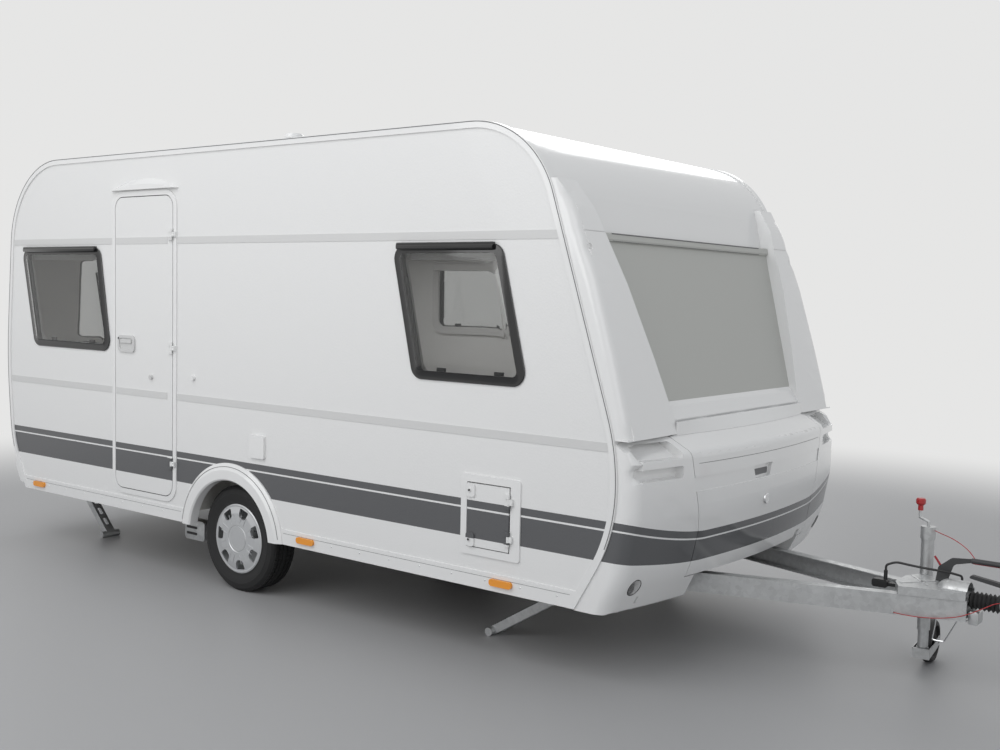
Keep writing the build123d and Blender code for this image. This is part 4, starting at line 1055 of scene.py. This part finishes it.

# A thin dark bar along the lid's crease paints the shade that falls in it.
CREASE_HEIGHT = 1.014
crease = []
for k in range(29):
    y = -0.70 + 1.40 * k / 28
    x = front_x(lid_tree, y, CREASE_HEIGHT)
    if x:
        crease.append((x, y, CREASE_HEIGHT))
settle(rod("lid_crease_shadow", crease, 0.0013, 8), painted_shade, "locker_lid")
LOCK = (along(2.8165), -0.066, 0.776)
mesh = bmesh.new()
add_lathe(mesh, [(0.0185, -0.003), (0.0185, 0.0010), (0.0215, 0.0022), (0.0255, 0.0010), (0.0265, -0.003)],
          LOCK, "X", 40)
settle(from_bmesh("lid_lock_ring", mesh), chrome, "locker_lid")
# A dark plate in the grip pocket paints the shade in the recess.
mesh = bmesh.new()
pocket = front_x(lid_tree, -0.10, 0.915)
add_prism(mesh, rounded(box_outline(-0.186, -0.020, 0.900, 0.932), 0.010, 4), pocket - 0.001, pocket + 0.0015, "X")
settle(from_bmesh("lid_pocket_shade", mesh), painted_shade, "locker_lid")

# %% [markdown]
# The front lamps sit in round holes of the nose corners. A thin black ring follows the skin round
# each hole, found by rays at every few degrees. Small keyholes go on the door handle and the flap.

# %% Lamp rings, keyholes and plate blank
corner_tree = ray_tree("nose_corners")
rings = []
for side in (-1, 1):
    loop = []
    for k in range(26):
        angle = 2 * pi * k / 24
        y, z = side * 1.033 + 0.0375 * cos(angle), 0.473 + 0.0375 * sin(angle)
        x = front_x(corner_tree, y, z)
        if x:
            loop.append((x, y, z))
    rings.append(rod("ring", loop, 0.0022, 8))
settle(join_meshes("front_lamp_rings", rings), border_black, "caravan")
for body, places in (("door", [(-1.066, -1.1745, 1.440)]),
                     ("service_flap", [(1.787, -1.1772, 0.589), (1.787, -1.1772, 0.829)])):
    mesh = bmesh.new()
    for x, y, z in places:
        add_lathe(mesh, [(0.0, 0.002), (0.0055, 0.002), (0.0055, -0.0006), (0.0045, -0.0012), (0.0, -0.0012)],
                  (along(x), y, z), "Y", 24)
    settle(from_bmesh(body + "_keyholes", mesh), dark, body)
bumper_tree = ray_tree("rear_bumper")
hit = bumper_tree.ray_cast(Vector((cad_low.x - 1, 0.1, 0.52)), Vector((1, 0, 0)))[0]
mesh = bmesh.new()
add_prism(mesh, rounded(box_outline(-0.258, 0.258, 0.467, 0.577), 0.010, 5), hit.x - 0.0028, hit.x, "X", 0.0006)
settle(from_bmesh("plate_blank", mesh), belt, "caravan")
mesh = bmesh.new()
for side in (-1, 1):
    for y in (0.790, 0.905, 1.020):
        add_lathe(mesh, [(0.0505, 0.006), (0.0505, -0.002), (0.053, -0.0035), (0.056, -0.001), (0.056, 0.006)],
                  (along(-2.397), side * y, 0.520), "X", 48)
settle(from_bmesh("rear_lamp_rings", mesh), chrome, "caravan")

# %% [markdown]
# The hitch carries small things that make it look used: red linings under the black grips, the
# wire stirrup that holds the jockey wheel's cable, the red clamp lever, a cast block below the
# bellows and pressed ribs on the cover.

# %% Hitch details
grip_red, n, l, shader = principled("grip_red", (0.36, 0.02, 0.03), 0.4, coat=0.2)
bump(n, l, shader, noise(n, l, 420, 2), 0.1, 0.0004)
lever_tree = ray_tree("coupling_handle")
under = []
for k in range(6):
    x = along(3.800 + 0.022 * k)
    hit = lever_tree.ray_cast(Vector((x, 0.0, 0.2)), Vector((0, 0, 1)))[0]
    if hit:
        under.append((x, 0.0, hit.z + 0.0015))
linings = [rod("lining", [(along(3.786), 0.066, 0.5862), (along(3.974), 0.066, 0.5862)], 0.0114, 16)]
if len(under) > 2:
    linings.append(rod("lining", under, 0.0042, 12))
clamp = [(along(3.601), 0.100, 0.579), (along(3.647), 0.100, 0.519),
         (along(3.652), 0.109, 0.470), (along(3.652), 0.111, 0.429)]
linings.append(rod("lever", clamp, 0.0055, 12))
settle(join_meshes("red_linings", linings), grip_red, "caravan")
stirrup = [(3.666, 0.338), (3.664, 0.300), (3.654, 0.236), (3.653, 0.224), (3.662, 0.221), (3.698, 0.221),
           (3.707, 0.224), (3.714, 0.236), (3.748, 0.305), (3.764, 0.338)]
wires = [rod("wire", [(along(x), -0.055, z) for x, z in stirrup], 0.0033, 10)]
settle(join_meshes("stirrup_wire", wires), chrome, "caravan")
mesh = bmesh.new()
steel = nodes["drawbar_beams"].data.materials[0]
block = rounded(box_outline(along(3.801), along(3.846), 0.318, 0.380), 0.010, 4)
add_prism(mesh, block, -0.040, 0.040, "Y", 0.003)
for sign in (-1, 1):
    rib = [(along(3.500), sign * 0.085), (along(3.512), sign * 0.095), (along(3.636), -sign * 0.060), (along(3.626), -sign * 0.070)]
    if sign < 0:
        rib.reverse()
    add_prism(mesh, rib, 0.4695, 0.4725, "Z", 0.0008)
settle(from_bmesh("hitch_block_and_ribs", mesh), steel, "caravan")

# %% [markdown]
# Behind each wheel hangs a steel housing on a cross tube, which shows through the arch. Only its rear
# end is in view, so its inner form is a guess from such fittings: a box with two slots, carried
# by brackets under the frame rails.

# %% Housings behind the wheels
HOUSING_X, HOUSING_Z = (-0.640, -0.450), (0.205, 0.325)
mesh = bmesh.new()
slot_shades = bmesh.new()
for side in (-1, 1):
    outline = rounded(box_outline(along(HOUSING_X[0]), along(HOUSING_X[1]), *HOUSING_Z), 0.018, 5)
    y0, y1 = sorted((side * 0.915, side * 0.985))
    add_prism(mesh, outline, y0, y1, "Y", 0.004)
    hanger = [(along(-0.580), 0.240), (along(-0.500), 0.240), (along(-0.470), 0.334), (along(-0.610), 0.334)]
    y0, y1 = sorted((side * 0.690, side * 0.700))
    add_prism(mesh, hanger, y0, y1, "Y", 0.001)
    # Each slot is a thin dark plate on the housing's face, painted shade for the opening.
    for z in (0.243, 0.281):
        slot = rounded(box_outline(along(-0.622), along(-0.520), z - 0.008, z + 0.008), 0.0075, 5)
        y0, y1 = sorted((side * 0.984, side * 0.9862))
        add_prism(slot_shades, slot, y0, y1, "Y")
add_lathe(mesh, [(0.0, -0.920), (0.021, -0.920), (0.021, 0.920), (0.0, 0.920)], (along(-0.540), 0, 0.268), "Y", 32)
settle(from_bmesh("wheel_housings", mesh), steel, "caravan")
settle(from_bmesh("housing_slot_shades", slot_shades), rubber_and_slot_shade, "caravan")

# %% [markdown]
# Screws and bolts are set by the tree too: round heads along the sills and round each marker lamp
# and vent, hexagon heads under the stand brackets. Lamps and brackets are found by splitting the
# solid node's points into clusters along the caravan, so each screw sits on a real place.

# %% Screws and bolts
def clusters(node, side, gap=0.08):
    """Boxes of the pieces of one node on one side, as x0, x1, outer y, z0, z1."""
    points = sorted((v.co.copy() for v in nodes[node].data.vertices if v.co.y * side > 0), key=lambda p: p.x)
    groups = [[points[0]]]
    for point in points[1:]:
        if point.x - groups[-1][-1].x > gap:
            groups.append([])
        groups[-1].append(point)
    return [(g[0].x, g[-1].x, max((p.y for p in g), key=abs), min(p.z for p in g), max(p.z for p in g)) for g in groups]


heads, bolts = [], []
for side in (-1, 1):
    out = (0, side, 0)
    for k in range(22):
        x = -2.10 + 4.40 * k / 21
        if abs(x) > 0.50:
            heads.append(((along(x), side * 1.1563, 0.400), out, (1, 0, 0)))
    for x0, x1, y, z0, z1 in clusters("marker_lamps", side):
        for x in (x0 + 0.006, x1 - 0.006):
            heads.append(((x, side * 1.1668, (z0 + z1) / 2), out, (1, 0, 0)))
    for x0, x1, y, z0, z1 in clusters("steady_brackets", side, 0.3):
        for x in (x0 + 0.03, x1 - 0.03):
            bolts.append(((x, side * 0.72, z0), (0, 0, -1), (1, 0, 0)))
for z0, z1 in ((0.600, 0.760), (1.190, 1.330)):
    for x in (0.630, 0.840, 1.050):
        for z in (z0 + 0.008, z1 - 0.008):
            heads.append(((along(x), 1.1642, z), (0, 1, 0), (1, 0, 0)))
for z in (0.700, 1.400, 2.080):
    for dz in (-0.008, 0.008):
        heads.append(((along(-0.514), -1.1752, z + dz), (0, -1, 0), (1, 0, 0)))
screws = scatter("screws", heads, "round", (0.0042, 0.0026, 0.0016), chrome)
settle(screws, chrome, "caravan")
settle(scatter("bracket_bolts", bolts, "hexagon", (0.009, 0.009, 0.007), steel), steel, "caravan")
